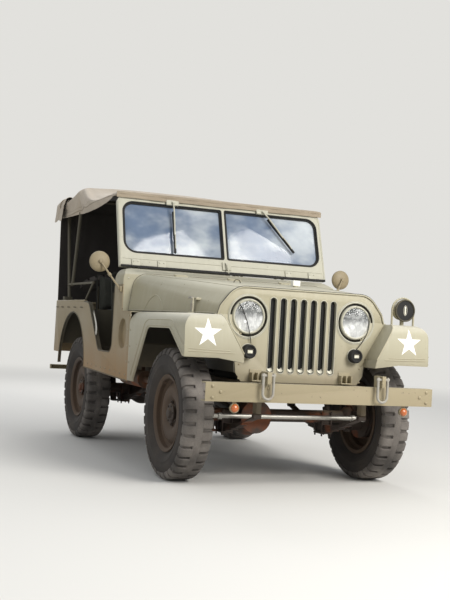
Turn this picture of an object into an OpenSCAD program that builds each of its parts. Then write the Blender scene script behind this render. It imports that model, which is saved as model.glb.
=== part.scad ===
// Light open 4x4 field car with a cloth top, one module per sub-part.
// Front faces -Y, the driver's side is +X, +Z is up, and the ground is z = 0.
// Inside car(), y is measured backwards from the front axle.

/* [Running gear] */
// Front axle to rear axle
wheelbase = 2057; // [2000:1:2500]
// Middle of the left tyre to middle of the right tyre
track = 1248; // [1200:1:1400]
// Tyre radius, which is also the height of both axles
tyre_r = 378; // [310:1:385]
// Tyre width at its widest
tyre_w = 186; // [150:1:200]
// Radius of the rim where the tyre's bead sits
rim_r = 203; // [170:1:215]
// Half the distance between the two steering pivots
kingpin_x = 500; // [480:1:520]
// Length of each steering arm, pivot to ball joint
steer_arm = 175; // [150:1:195]

/* [Body] */
// Half the width of the body at its flat sides
body_half = 765; // [740:1:920]
// Thickness of the body's sheet-metal panels
sheet = 6; // [3:0.5:8]
// Rear axle to the tub's rear panel
rear_overhang = 568; // [520:1:700]
// Height of the tub's top edge above the ground
tub_top = 1022; // [990:1:1060]
// Height of the front floor
floor_z = 606; // [604:1:640]
// Height of the rear floor
bed_z = 700; // [696:1:720]
// Front axle to the front edge of the door cut-outs
door_front = 955; // [935:1:1000]
// Width of the door cut-out along its foot
door_w = 330; // [250:1:380]
// Height of the foot of the door cut-outs
door_foot = 683; // [660:1:720]
// Radius of the rear wheel arches
arch_r = 400; // [390:1:440]

/* [Nose] */
// Front axle to the front face of the bumper
bumper_front = 607; // [570:1:700]
// Half the length of the bumper
bumper_half = 695; // [600:1:760]
// Height of the bumper's channel
bumper_h = 100; // [80:1:130]
// Front axle to the face of the grille
grille_y = 305; // [280:1:330]
// Height of the top of the fenders
fender_top = 958; // [930:1:1000]
// Height of the hood at its front edge
hood_front_z = 1122; // [1090:1:1150]
// Height of the hood at its rear edge
hood_rear_z = 1203; // [1190:1:1230]
// Number of upright slots in the grille
slots = 7; // [5:2:7]
// Distance from one slot to the next
slot_pitch = 64; // [54:1:66]
// Radius of the headlight lenses
lens_r = 89; // [70:1:95]

/* [Windshield and top] */
// Lean of the windshield from upright, in degrees
rake = 18.5; // [8:0.5:24]
// Length of the windshield frame along its slope
shield_h = 503; // [440:1:605]
// Height of the cloth roof at its crest
roof_top = 1925; // [1890:1:1990]
// Thickness of the cloth with its hems
cloth = 6; // [4:1:10]
// Diameter of the bow tubes
bow_d = 26; // [20:1:32]

/* [Hidden] */
$fn = 48;

// Fits between neighbouring pieces
seat = 0.3;        // a piece that lies on or in another
run = 0.05;        // radial clearance of a shaft in its hole
e = 1;             // how far a cutter reaches past what it cuts

// Paint and materials
paint = [0.50, 0.45, 0.33];
dark = [0.20, 0.17, 0.15];
rubber = [0.17, 0.16, 0.16];
rust = [0.33, 0.22, 0.16];
steel = [0.55, 0.54, 0.52];
canvas = [0.72, 0.67, 0.58];
pad = [0.24, 0.25, 0.22];
clear = [0.62, 0.70, 0.75, 0.4];
amber = [0.85, 0.42, 0.08];
red = [0.55, 0.05, 0.04];

tub_rear = wheelbase + rear_overhang;

// Overall length: from the shackles on the bumper to the jaw of the tow pintle
shackle_rod = 15;
shackle_reach = 28;
lug_reach = 42;
front_end = bumper_front + lug_reach;
pintle_reach = 265;
rear_end = tub_rear + pintle_reach;
front_axle_y = -(rear_end - front_end) / 2;

// Ladder frame
rail_out = 352;
rail_in = 302;
rail_mid = (rail_in + rail_out) / 2;
bumper_z = 550;
rail_nose_h = bumper_h - 16;
rail_front_z = bumper_z + rail_nose_h / 2;
rail_low_z = floor_z - sheet - 12;
rail_bed_z = bed_z - sheet - 14;
rail_h = 98;
kick_start = wheelbase - 540;
kick_top = wheelbase - 290;
frame_rear = tub_rear + 15;

// Axles, knuckles and hubs
axle_z = tyre_r;
axle_r = 38;
diff_x = -180;
diff_r = 118;
nose_y = diff_r + 75;    // pinion nose, from the middle of its axle
ball_r = 66;
ball_fit = 0.5;
housing_r = 80;
spindle_r = 25;
hub_r = 46;
drum_r = 128;
plate_x = 49;      // brake plate's middle, inboard of the wheel's middle plane
tie_z = axle_z + 7;
tie_r = 13;
stud_r = 8;
arm_t = 16;
arm_z = tie_z + 20;

// Leaf springs
leaf_w = 45;
leaf_t = 9;
front_span = 455;
rear_span = 530;
spring_rise = 82;
spring_seat = 1.9;  // the top leaf already rises a little at the ends of the axle's pads
spring_low_z = axle_z - axle_r - 8 - spring_seat;
spring_eye_z = spring_low_z + spring_rise;

// Wheel arches, floor and walls
gearbox_low = 505;
wheelhouse_in = track / 2 - tyre_w / 2 - 51;
wheelhouse_top = 966;
wheelhouse_half = arch_r + 23;
arch_z = 540;
riser_y = 1480;
firewall_y = 700;
toe_z = 760;
cowl_y = 764;
cowl_side_z = 1130;
cowl_top = 1240;
seam_y = 573;
sill_front_z = 518;
sill_rear_z = 546;
tail_low_z = 624;
rail_tube_r = 11;

// Hood and its hinge line
hood_rear = cowl_y - 5;
hood_front = -grille_y - 5;
hood_t = 5;
hood_base = fender_top + seat;
hinge_z = hood_rear_z + 9;
hood_front_half = 531;
hood_rear_half = body_half - 43;

// Lamps in the grille
lamp_x = 342;
lamp_z = 957;
lamp_ring = 104;
marker_x = 339;
marker_z = 762;
marker_r = 40;
turn_x = 519;
turn_z = 465;

// Windshield
shield_y = 905;
shield_z = cowl_top + 10;
shield_t = 34;
shield_half = body_half - 5;
pane_low = 100;
pane_top = shield_h - 36;
pane_out = shield_half - 36;
post_half = 14;
pane_r = 75;
seal_h = 6;
shield_top_y = shield_y + shield_h * sin(rake);
shield_top_z = shield_z + shield_h * cos(rake);

// Cloth top and its bows
roof_half = body_half + 3;
crest_y = wheelbase + 165;
roof_rear = tub_rear + 92;
bow_x = body_half - 67;
bow_r = bow_d / 2;
bow_top = roof_top - 24;
rear_bow_foot = [tub_rear - 146, tub_top + 30];
rear_bow_lean = atan(0.25);
main_bow_foot = [tub_rear - 233, tub_top + 140];
main_bow_lean = -atan((main_bow_foot[0] - crest_y) / (bow_top - main_bow_foot[1]));
curtain_foot = [tub_rear + 15, tub_top - 40];
curtain_h = 790;
curtain_lean = atan((roof_rear - cloth - cloth / 2 - seat - curtain_foot[0]) / curtain_h);
curtain_window_half = 215;
curtain_window_low = 450;
curtain_window_top = 680;

// Seats and steering
seat_x = 380;
seat_half = 225;
cushion_z = 770;
cushion_t = 90;
cushion_front = 1090;
cushion_l = 400;
back_t = 80;
back_h = 420;
back_lean = 12;
bench_half = wheelhouse_in - 12;
bench_front = wheelbase + 78;
bench_z = 890;
bench_l = 330;
bench_t = 72;
bench_lean = 6;
seat_tube_r = 11;
wheel_x = 330;
wheel_y = 1120;
wheel_z = 1180;
box_y = 190;
box_z = 650;
column_tilt = atan((wheel_z - box_z) / (wheel_y - box_y));
column_l = norm([wheel_z - box_z, wheel_y - box_y]);
column_r = 20;
shaft_r = 10;
rim_d = 430;

// Spare wheel on the rear panel
spare_x = -330;
spare_z = 895;
spare_gap = 52;

function unit(v) = v / norm(v);

// One rounded corner of an outline: b is [x, y, radius], a and c are its neighbours
function corner(a, b, c, n) =
  b[2] <= 0 ? [[b[0], b[1]]] :
  let (p = [b[0], b[1]],
       u = unit([a[0] - b[0], a[1] - b[1]]),
       v = unit([c[0] - b[0], c[1] - b[1]]),
       half = acos(u * v) / 2,
       middle = p + unit(u + v) * b[2] / sin(half),
       from = p + u * b[2] / tan(half) - middle,
       to = p + v * b[2] / tan(half) - middle,
       start = atan2(from[1], from[0]),
       swing = atan2(to[1], to[0]) - start,
       turn = swing > 180 ? swing - 360 : swing < -180 ? swing + 360 : swing)
  [for (k = [0:n]) middle + b[2] * [cos(start + turn * k / n), sin(start + turn * k / n)]];

// An outline from corners [x, y, radius]
function rounded(c, n = 6) =
  [for (i = [0:len(c) - 1]) each corner(c[(i + len(c) - 1) % len(c)], c[i], c[(i + 1) % len(c)], n)];

// The left half of a symmetric outline, given from its foot to its top, with its right half added
function mirrored(half) =
  concat(half, [for (i = [len(half) - 1:-1:0]) [-half[i][0], half[i][1], half[i][2]]]);

// Every y in the modules below starts at the front axle
module car() { translate([0, front_axle_y, 0]) children(); }
module both_sides() { children(); mirror([1, 0, 0]) children(); }

// An outline in (y, z) made into a plate from x0 to x1
module side_plate(x0, x1, points) {
  translate([x0, 0, 0]) rotate([90, 0, 90]) linear_extrude(x1 - x0) polygon(points);
}

// An outline in (x, z) made into a plate from y0 to y1
module front_plate(y0, y1, points) {
  translate([0, y1, 0]) rotate([90, 0, 0]) linear_extrude(y1 - y0) polygon(points);
}

// A box between two corners
module block(low, high) { translate(low) cube(high - low); }

// Round bars between two points, along an axis or in any direction
module bar(a, b, r, spin = 0) {
  d = b - a;
  translate(a) rotate([0, acos(d[2] / norm(d)), atan2(d[1], d[0])]) rotate([0, 0, spin]) cylinder(h = norm(d), r = r);
}
module rod_x(x0, x1, y, z, r) { translate([x0, y, z]) rotate([0, 90, 0]) cylinder(h = x1 - x0, r = r); }
module rod_y(y0, y1, x, z, r) { translate([x, y1, z]) rotate([90, 0, 0]) cylinder(h = y1 - y0, r = r); }

// ---------------------------------------------------------------- frame

rail_outline = [
  [-bumper_front + sheet, rail_front_z], [250, rail_front_z], [560, rail_low_z], [kick_start, rail_low_z],
  [kick_top, rail_bed_z], [frame_rear, rail_bed_z], [frame_rear, rail_bed_z - rail_h],
  [kick_top + 20, rail_bed_z - rail_h], [kick_start + 10, rail_low_z - rail_h],
  [570, rail_low_z - rail_h], [260, rail_front_z - rail_nose_h], [-bumper_front + sheet, rail_front_z - rail_nose_h]];

// [y, height of the eye, underside of the rail] for the four spring ends on one side
spring_ends = [
  [-front_span, spring_eye_z, rail_front_z - rail_nose_h + e], [front_span, spring_eye_z, rail_low_z - rail_h + 8],
  [wheelbase - rear_span, spring_eye_z, rail_low_z - rail_h + 8], [wheelbase + rear_span, spring_eye_z, rail_bed_z - rail_h + e]];

module cross_member(y, z0, z1, half) { block([-half, y - 35, z0], [half, y + 35, z1]); }

module frame() color(paint) car() {
  both_sides() side_plate(rail_in, rail_out, rail_outline);
  cross_member(-grille_y + 40, rail_front_z - 70, rail_front_z, rail_in);
  cross_member(640, rail_low_z - rail_h, gearbox_low - seat, rail_in);
  cross_member(1180, rail_low_z - 95, rail_low_z - 45, rail_in);
  cross_member(kick_top - 60, rail_bed_z - rail_h + 10, rail_bed_z - 30, rail_in);
  cross_member(frame_rear - 35, rail_bed_z - rail_h, rail_bed_z, rail_in);
  // body mounts between the rails and the floor
  both_sides() for (m = [[760, rail_low_z, floor_z - sheet], [1400, rail_low_z, floor_z - sheet],
                         [kick_top + 130, rail_bed_z, bed_z - sheet], [tub_rear - 70, rail_bed_z, bed_z - sheet]])
    translate([rail_mid, m[0], m[1] - e]) cylinder(h = m[2] - m[1] + e, r = 24);
  // hangers that carry the springs' eyes
  both_sides() for (s = spring_ends) block([rail_mid - 14, s[0] - 26, s[1] + 16 + seat], [rail_mid + 14, s[0] + 26, s[2]]);
}

module front_bumper() color(paint) car() {
  z0 = bumper_z - bumper_h / 2;
  z1 = bumper_z + bumper_h / 2;
  difference() {
    block([-bumper_half, -bumper_front, z0], [bumper_half, -bumper_front + 62, z1]);
    block([-bumper_half - e, -bumper_front + sheet, z0 + sheet], [bumper_half + e, -bumper_front + 62 + e, z1 - sheet]);
  }
  // lugs that carry the lifting shackles
  both_sides() difference() {
    block([shackle_x - 11, -front_end, z1], [shackle_x + 11, -bumper_front + 50, shackle_pin_z + 18]);
    rod_x(shackle_x - 20, shackle_x + 20, shackle_y, shackle_pin_z, shackle_rod / 2 + run);
  }
  // brackets under the bumper for the turn lamps
  both_sides() block([turn_x - 12, -bumper_front + 20, turn_z - 18], [turn_x + 12, -bumper_front + 24, z0]);
}

shackle_x = 350;
shackle_y = -bumper_front - shackle_reach;
shackle_pin_z = bumper_z + bumper_h / 2 + 46;
shackle_bow_r = 30;
shackle_drop = 96;

module lift_shackles() color(paint) car() both_sides()
  translate([shackle_x, shackle_y, shackle_pin_z]) {
    rotate([0, 90, 0]) translate([0, 0, -shackle_bow_r - 10]) cylinder(h = 2 * shackle_bow_r + 20, r = shackle_rod / 2);
    for (s = [-1, 1]) translate([s * shackle_bow_r, 0, -shackle_drop]) cylinder(h = shackle_drop + 12, r = shackle_rod / 2);
    translate([0, 0, -shackle_drop]) rotate([-90, 0, 0])
      rotate_extrude(angle = 180) translate([shackle_bow_r, 0]) circle(r = shackle_rod / 2);
  }

module rear_bumperettes() color(paint) car() both_sides() {
  z0 = 472;
  z1 = 508;
  difference() {
    block([rail_in + 10, tub_rear + 105, z0], [body_half - 6, tub_rear + 135, z1]);
    block([rail_in + 9, tub_rear + 104, z0 + 5], [body_half - 16, tub_rear + 129, z1 - 5]);
  }
  // each stands off the end of its frame rail on a bent arm
  block([rail_in + 10, frame_rear, z0], [rail_out + 60, frame_rear + 16, rail_bed_z - 20]);
  block([rail_in + 10, frame_rear, z0], [rail_in + 16, tub_rear + 106, z1]);
  block([rail_out + 54, frame_rear, z0], [rail_out + 60, tub_rear + 106, z1]);
}

pintle_z = 600;
pintle_eye_r = 24;
pintle_eye_y = tub_rear + pintle_reach - 52;

module tow_pintle() color(dark) car() difference() {
  union() {
    block([-60, frame_rear, pintle_z - 55], [60, frame_rear + 12, pintle_z + 55]);
    rod_y(frame_rear + 10, pintle_eye_y - pintle_eye_r - 6, 0, pintle_z, 30);
    // the hook and the latch that closes it, round the towing eye
    rod_x(-20, 20, pintle_eye_y, pintle_z, 52);
    block([-12, pintle_eye_y - 62, pintle_z + 28], [12, pintle_eye_y + 6, pintle_z + 66]);
  }
  rod_x(-21, 21, pintle_eye_y, pintle_z, pintle_eye_r);
}

// ---------------------------------------------------------------- axles and suspension

// Round housing with a cover plate on its outer face and a pinion nose towards the gearbox
module differential(side) rotate([-side * 90, 0, 0]) rotate_extrude() polygon(concat(
  [[0, -diff_r - 8], [diff_r * cos(35), -diff_r - 8]],
  [for (a = [-35:9:55]) diff_r * [cos(a), sin(a)]],
  [[60, diff_r + 10], [42, nose_y], [0, nose_y]]));

// Half the outline of the front axle's tube and its ball, cut off square outside the steering pivot
ball_cut = acos(52 / ball_r);
ball_neck = 180 - asin(axle_r / ball_r);
axle_half = concat([[0, kingpin_x + 52]],
  [for (k = [0:10]) let (a = ball_cut + (ball_neck - ball_cut) * k / 10) [ball_r * sin(a), kingpin_x + ball_r * cos(a)]]);

module front_axle() color(rust) car() translate([0, 0, axle_z]) {
  rotate([0, 90, 0]) rotate_extrude()
    polygon(concat(axle_half, [for (i = [len(axle_half) - 1:-1:0]) [axle_half[i][0], -axle_half[i][1]]]));
  translate([diff_x, 0, 0]) differential(1);
  both_sides() block([rail_mid - 24, -34, -axle_r - 8], [rail_mid + 24, 34, 0]);
}

module rear_axle() color(rust) car() translate([0, wheelbase, axle_z]) {
  rod_x(-track / 2 + plate_x + 4, track / 2 - plate_x - 4, 0, 0, axle_r);
  translate([diff_x, 0, 0]) differential(-1);
  both_sides() {
    rod_x(track / 2 - plate_x - 6, track / 2 - plate_x, 0, 0, drum_r);
    rod_x(track / 2 - plate_x - e, track / 2 + 30, 0, 0, spindle_r);
    block([rail_mid - 24, -34, -axle_r - 8], [rail_mid + 24, 34, 0]);
  }
}

// Height of the top leaf at distance y from the axle
function leaf_z(y, span) = spring_low_z - leaf_t / 2 + spring_rise * pow(y / span, 2);

// One leaf: a band that follows the spring's curve, n leaves below the top one
function leaf(n, length, span) =
  let (ys = [for (k = [0:8]) -length + 2 * length * k / 8])
  concat([for (y = ys) [y, leaf_z(y, span) + leaf_t / 2 - n * leaf_t]],
         [for (k = [8:-1:0]) [ys[k], leaf_z(ys[k], span) - leaf_t / 2 - n * leaf_t - 0.01]]);

module spring(span) {
  rotate([90, 0, 90]) translate([0, 0, -leaf_w / 2]) linear_extrude(leaf_w) {
    for (n = [0:4]) polygon(leaf(n, n == 0 ? span : span * (0.86 - 0.17 * n), span));
    for (s = [-1, 1]) difference() {
      translate([s * span, spring_eye_z]) circle(r = 16);
      translate([s * span, spring_eye_z]) circle(r = 6);
    }
  }
  // plate and U-bolts that clamp the spring under the axle
  block([-36, -52, spring_low_z - 5 * leaf_t - 10], [36, 52, spring_low_z - 5 * leaf_t]);
  for (x = [-30, 30], y = [-44, 44])
    translate([x, y, spring_low_z - 5 * leaf_t - 24]) cylinder(h = 5 * leaf_t + 2 * axle_r + 30, r = 5);
}

module damper(foot, head) {
  along = unit(head - foot);
  bar(foot, foot + along * norm(head - foot) * 0.55, 24);
  bar(foot, head, 10);
}

module suspension() color(dark) car() both_sides() {
  translate([rail_mid, 0, 0]) spring(front_span);
  translate([rail_mid, wheelbase, 0]) spring(rear_span);
  for (y = [0, wheelbase]) {
    // a pin on the spring plate and one on the rail hold each damper
    rod_x(rail_mid + 30, rail_out + 52, y + 40, spring_low_z - 5 * leaf_t - 5, 8);
    damper([rail_out + 44, y + 40, spring_low_z - 5 * leaf_t - 5], [rail_out + 44, y + 150, damper_head_z(y)]);
    rod_x(rail_out + seat, rail_out + 56, y + 150, damper_head_z(y), 9);
  }
}
function damper_head_z(y) = (y == 0 ? rail_front_z : rail_bed_z) - 45;

// ---------------------------------------------------------------- drive

engine_half = 190;
engine_front = -80;
engine_rear = 560;
engine_low = rail_front_z - 72;
transfer_y = 1000;
shaft_z = 470;
propeller_r = 24;

module engine() color(dark) car() {
  block([-engine_half, engine_front, engine_low], [engine_half, engine_rear, 1035]);
  both_sides() block([engine_half - e, 80, rail_front_z - 50], [rail_in - seat, 150, rail_front_z - 22]);
}

module drive_train() color(dark) car() {
  // gearbox and transfer case
  block([-110, engine_rear, gearbox_low], [110, transfer_y + 110, floor_z - sheet - 12]);
  block([diff_x - 70, transfer_y - 90, 425], [-100, transfer_y + 110, floor_z - sheet - 12]);
  // propeller shafts to both axles, ending against the pinion noses
  propeller(transfer_y - 80, nose_y, 1);
  propeller(transfer_y + 100, wheelbase - nose_y, -1);
}

// A shaft dips to its nose, so its end stands back by what its tilted edge takes
module propeller(y0, y1, side) {
  dip = propeller_r * (shaft_z - axle_z) / abs(y1 - y0) + seat;
  bar([diff_x, y0, shaft_z], [diff_x, y1 + side * dip, axle_z + 2], propeller_r);
}

exhaust_x = -(rail_out + 130);
exhaust_z = 505;
module exhaust() color(rust) car() {
  rod_y(1050, 1500, exhaust_x, exhaust_z, 58);
  rod_y(firewall_y, 1060, exhaust_x, exhaust_z, 22);
  rod_y(1490, 1600, exhaust_x, exhaust_z, 20);
  // straps up to the floor
  for (y = [1120, 1420]) block([exhaust_x - 12, y, exhaust_z + 40], [exhaust_x + 12, y + 6, floor_z - sheet]);
}

module fuel_tank() color(dark) car()
  side_plate(rail_out + 40, body_half - 60, rounded([
    [1120, floor_z - sheet, 0], [1430, floor_z - sheet, 0], [1430, 460, 40], [1120, 460, 40]]));

module radiator() color(dark) car() {
  block([-218, -grille_y + 22, rail_front_z], [218, -grille_y + 78, 1062]);
  rod_x(-90, 90, -grille_y + 50, 1072, 24);
}

// ---------------------------------------------------------------- tub

side_outline = concat(
  rounded([
    [seam_y, sill_front_z, 0], [seam_y, fender_top, 0], [cowl_y, fender_top, 0], [cowl_y, cowl_side_z, 0],
    [door_front, cowl_side_z, 30], [door_front, door_foot, 70], [door_front + door_w, door_foot, 80],
    [door_front + door_w + (tub_top - door_foot - 8) * 0.95, tub_top - 8, 140], [tub_rear, tub_top, 6],
    [tub_rear, tail_low_z, 0], [wheelbase + arch_r + 10, tail_low_z, 0], [wheelbase + arch_r + 10, arch_z, 0],
    [wheelbase - arch_r, arch_z, 0], [wheelbase - arch_r, sill_rear_z, 0]], 8));

module body_side() difference() {
  union() {
    side_plate(body_half - sheet, body_half, side_outline);
    // rolled rail along the top of the quarter
    rod_y(wheelbase - 330, tub_rear, body_half - rail_tube_r, tub_top, rail_tube_r);
  }
  rod_x(body_half - 2 * rail_tube_r - e, body_half + e, wheelbase, arch_z, arch_r);
}
module side_left() color(paint) car() body_side();

// The right side has an oval recess ahead of the door
recess_y = [637, 807];
recess_z = [717, 909];
recess_depth = 26;
function recess_outline(grow) = rounded([
  [recess_y[0] - grow, recess_z[0] - grow, 84 + grow], [recess_y[1] + grow, recess_z[0] - grow, 84 + grow],
  [recess_y[1] + grow, recess_z[1] + grow, 84 + grow], [recess_y[0] - grow, recess_z[1] + grow, 84 + grow]], 8);
module side_right() color(paint) car() mirror([1, 0, 0]) difference() {
  union() {
    body_side();
    side_plate(body_half - sheet - recess_depth, body_half - sheet + e, recess_outline(3));
  }
  side_plate(body_half - recess_depth, body_half + e, recess_outline(0));
}
// Space that the recess takes inside the body
module recess_room() block(
  [-body_half + sheet - e, recess_y[0] - 8, recess_z[0] - 8], [-body_half + sheet + recess_depth + 4, recess_y[1] + 8, recess_z[1] + 8]);

module rear_panel() color(paint) car() {
  inner = body_half - sheet;
  difference() {
    block([-inner, tub_rear - sheet, tail_low_z], [inner, tub_rear, tub_top - rail_tube_r]);
    // the frame's end comes out under the panel
    block([-rail_out - 6, tub_rear - sheet - e, tail_low_z - e], [rail_out + 6, tub_rear + e, rail_bed_z + 4]);
  }
  rod_x(-inner + 20, inner - 20, tub_rear - rail_tube_r, tub_top, rail_tube_r);
  block([-inner + 20, tub_rear - sheet, tub_top - rail_tube_r - e], [inner - 20, tub_rear, tub_top]);
}

module floor_pan() color(paint) car() {
  inner = body_half - sheet;
  y0 = wheelbase - wheelhouse_half;
  y1 = min(wheelbase + wheelhouse_half, tub_rear - sheet - 60);
  difference() {
    side_plate(-inner, inner, [
      [firewall_y, toe_z], [firewall_y + 145, floor_z], [riser_y, floor_z], [riser_y, bed_z],
      [tub_rear - sheet, bed_z], [tub_rear - sheet, bed_z - sheet], [riser_y + sheet, bed_z - sheet],
      [riser_y + sheet, floor_z - sheet], [firewall_y + 142, floor_z - sheet], [firewall_y, toe_z - 8.6]]);
    both_sides() block([wheelhouse_in, y0, bed_z - 20], [body_half, y1, bed_z + e]);
    // the steering column comes up through the toe board
    column_hole();
    recess_room();
  }
  // wheel houses, open below and outwards
  both_sides() difference() {
    block([wheelhouse_in, y0, bed_z - sheet], [inner, y1, wheelhouse_top]);
    block([wheelhouse_in + sheet, y0 + sheet, bed_z - 20], [inner + e, y1 - sheet, wheelhouse_top - sheet]);
  }
}

module column_hole()
  translate([wheel_x, box_y, box_z]) rotate([-90 + column_tilt, 0, 0]) cylinder(h = column_l, r = column_r + 8);

cowl_outline = mirrored([[body_half, fender_top - sheet, 0], [body_half, cowl_top, 75]]);
cowl_inner = mirrored([[body_half - sheet, fender_top - 40, 0], [body_half - sheet, cowl_top - sheet, 69]]);
cowl_crest = shield_y;

module cowl() color(paint) car() {
  inner = body_half - sheet;
  well_half = inner - 159;
  difference() {
    union() {
      // rounded top, resting on the side panels
      difference() {
        intersection() {
          front_plate(cowl_y, door_front, rounded(cowl_outline));
          side_plate(-body_half, body_half, [[cowl_y, cowl_side_z], [cowl_y, cowl_top - 42], [cowl_crest - 40, cowl_top],
            [door_front, cowl_top], [door_front, cowl_side_z]]);
        }
        intersection() {
          front_plate(cowl_y + sheet, door_front - sheet, rounded(cowl_inner));
          side_plate(-body_half, body_half, [[cowl_y, cowl_side_z - e], [cowl_y, cowl_top - 42 - sheet],
            [cowl_crest - 40, cowl_top - sheet], [door_front, cowl_top - sheet], [door_front, cowl_side_z - e]]);
        }
        block([-body_half + 70, cowl_y + sheet, cowl_side_z - e], [body_half - 70, door_front - sheet, cowl_side_z + 10]);
      }
      // front wall behind the hood, dash, firewall, and the shelf and ledges that join them
      block([-inner, cowl_y, fender_top - sheet], [inner, cowl_y + sheet, cowl_side_z]);
      block([-inner, door_front - sheet, 1020], [inner, door_front, cowl_side_z]);
      block([-inner, firewall_y, toe_z], [inner, firewall_y + sheet, fender_top]);
      front_plate(firewall_y, firewall_y + sheet, rounded(mirrored([[inner - 64, fender_top - e, 0], [inner - 119, 1165, 40]])));
      block([-well_half, firewall_y, 1159], [well_half, cowl_y + e, 1165]);
      both_sides() block([inner - 119, seam_y, fender_top - sheet], [inner, cowl_y + e, fender_top]);
    }
    // the footwell is open through the cowl, and the column passes through it
    block([-well_half, cowl_y - e, fender_top - 2 * sheet], [well_half, cowl_y + sheet + e, 1159]);
    column_hole();
    recess_room();
  }
  // barrels of the hood's hinge
  for (x = [-380, 0, 380]) {
    rod_x(x - 45, x + 45, cowl_y + 1, hinge_z, 6);
    block([x - 45, cowl_y + 1, cowl_top - 48], [x + 45, cowl_y + 7, hinge_z]);
  }
}

// ---------------------------------------------------------------- fenders, grille and hood

fender_front = 430;
apron_top_x = 444;
apron_low_x = 388;
apron_low_z = 500;
apron_foot = 640;
apron_bend = 72;   // the fender's top rolls down into its apron

fender_section = rounded([[apron_top_x, fender_top, apron_bend], [body_half, fender_top, 80],
  [body_half, apron_low_z, 0], [apron_low_x, apron_low_z, 0]], 8);
fender_hollow = rounded([[apron_top_x + sheet, fender_top - sheet, apron_bend - sheet], [body_half - sheet, fender_top - sheet, 74],
  [body_half - sheet, apron_low_z - 10, 0], [apron_low_x + sheet - 1, apron_low_z - 10, 0]], 8);
fender_profile = rounded([[seam_y - seat, sill_front_z + 8, 0], [seam_y - seat, fender_top, 0],
  [-fender_front, fender_top, 60], [-fender_front - 16, 752, 0], [-fender_front - 8, 692, 0],
  [-fender_front + 130, 640, 0], [-fender_front + 130, sill_front_z + 8, 0]], 8);
fender_inside = rounded([[seam_y + e, sill_front_z - 20, 0], [seam_y + e, fender_top - sheet, 0],
  [-fender_front + sheet, fender_top - sheet, 54], [-fender_front - 16 + sheet, 752, 0],
  [-fender_front - 8 + sheet, 680, 0], [-fender_front - 8 + sheet, sill_front_z - 20, 0]], 8);
wheel_opening = rounded([[445, 500, 0], [445, 534, 20], [211, 865, 70], [-182, 867, 70],
  [-310, 787, 60], [-408, 726, 16], [-fender_front - 40, 718, 0], [-fender_front - 40, 500, 0]], 8);

module fender() difference() {
  intersection() {
    side_plate(apron_low_x - 10, body_half, fender_profile);
    front_plate(-fender_front - 20, seam_y - seat, fender_section);
  }
  intersection() {
    side_plate(apron_low_x - 10, body_half, fender_inside);
    front_plate(-fender_front - 20 + sheet, seam_y + e, fender_hollow);
  }
  side_plate(560, body_half + e, wheel_opening);
  // the inner apron ends above the frame
  block([apron_low_x - 20, -fender_front + 60, sill_front_z], [700, seam_y, apron_foot]);
}
module fender_left() color(paint) car() fender();
module fender_right() color(paint) car() mirror([1, 0, 0]) fender();

function apron_x(z) = apron_low_x + (apron_top_x - apron_low_x) * (z - apron_low_z) / (fender_top - apron_low_z);

grille_outline = rounded(mirrored([
  [370, rail_front_z, 0], [apron_x(apron_foot) - seat, apron_foot, 0],
  [apron_x(fender_top) - seat, fender_top + seat, apron_bend], [hood_front_half - hood_t - 2, fender_top + seat, 0],
  [516 - hood_t, 1010, 60], [428, hood_front_z - hood_t - 1, 130]]), 8);

module grille() color(paint) car() difference() {
  union() {
    front_plate(-grille_y, -grille_y + sheet, grille_outline);
    // raised rings round the headlights
    intersection() {
      both_sides() rod_y(-grille_y - 8, -grille_y + 30, lamp_x, lamp_z, lamp_ring + 10);
      front_plate(-grille_y - 9, -grille_y + 31, grille_outline);
    }
  }
  both_sides() rod_y(-grille_y - 20, -grille_y + 40, lamp_x, lamp_z, lamp_ring);
  for (i = [0:slots - 1]) grille_slot((i - (slots - 1) / 2) * slot_pitch);
  both_sides() rod_y(-grille_y - e, -grille_y + sheet + e, marker_x, marker_z, 26);
}

slot_half = 22;
slot_low = 642;
slot_top = 1075;
module grille_slot(x) {
  block([x - slot_half, -grille_y - e, slot_low + slot_half], [x + slot_half, -grille_y + sheet + e, slot_top - slot_half]);
  for (z = [slot_low + slot_half, slot_top - slot_half]) rod_y(-grille_y - e, -grille_y + sheet + e, x, z, slot_half);
}

// Cross-sections of the hood, each drawn inwards by t for the hollow
function hood_nose(t) = rounded(mirrored([[hood_front_half - t, hood_base, 0], [516 - t, 1010, 60], [428 - t / 2, hood_front_z - t, 130]]));
function hood_heel(t) = rounded(mirrored([[hood_rear_half - t, hood_base, 0], [hood_rear_half - 34 - t, hood_rear_z - t, 95]]));

module hood_form(t, past) hull() {
  front_plate(hood_front - past, hood_front - past + 1, hood_nose(t));
  front_plate(hood_rear + past - 1, hood_rear + past, hood_heel(t));
}

module hood() color(paint) car() {
  difference() {
    hood_form(0, 0);
    translate([0, 0, -10]) hood_form(hood_t, e);
    translate([0, 0, -0.01]) hood_form(hood_t, e);
  }
  // block that the lowered windshield is tied to
  translate([250, 330, 1160]) cylinder(h = 42, r = 16);
}

latch_y = -60;
module hood_latches() color(paint) car() both_sides() {
  x = hood_front_half + (hood_rear_half - hood_front_half) * (latch_y + grille_y) / (hood_rear + grille_y) + 6;
  block([x, latch_y - 16, fender_top], [x + 34, latch_y + 16, fender_top + 6]);
  block([x + 4, latch_y - 9, fender_top + 5], [x + 14, latch_y + 9, fender_top + 92]);
}

// ---------------------------------------------------------------- lamps

module headlights() color(dark) car() both_sides() {
  rod_y(-grille_y + 2, -grille_y + 14, lamp_x, lamp_z, lamp_ring - seat);
  rod_y(-grille_y - 4, -grille_y + 4, lamp_x, lamp_z, lens_r);
  translate([lamp_x, -grille_y + 12, lamp_z]) rotate([-90, 0, 0]) cylinder(h = 70, r1 = lamp_ring - 14, r2 = 55);
}

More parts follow.
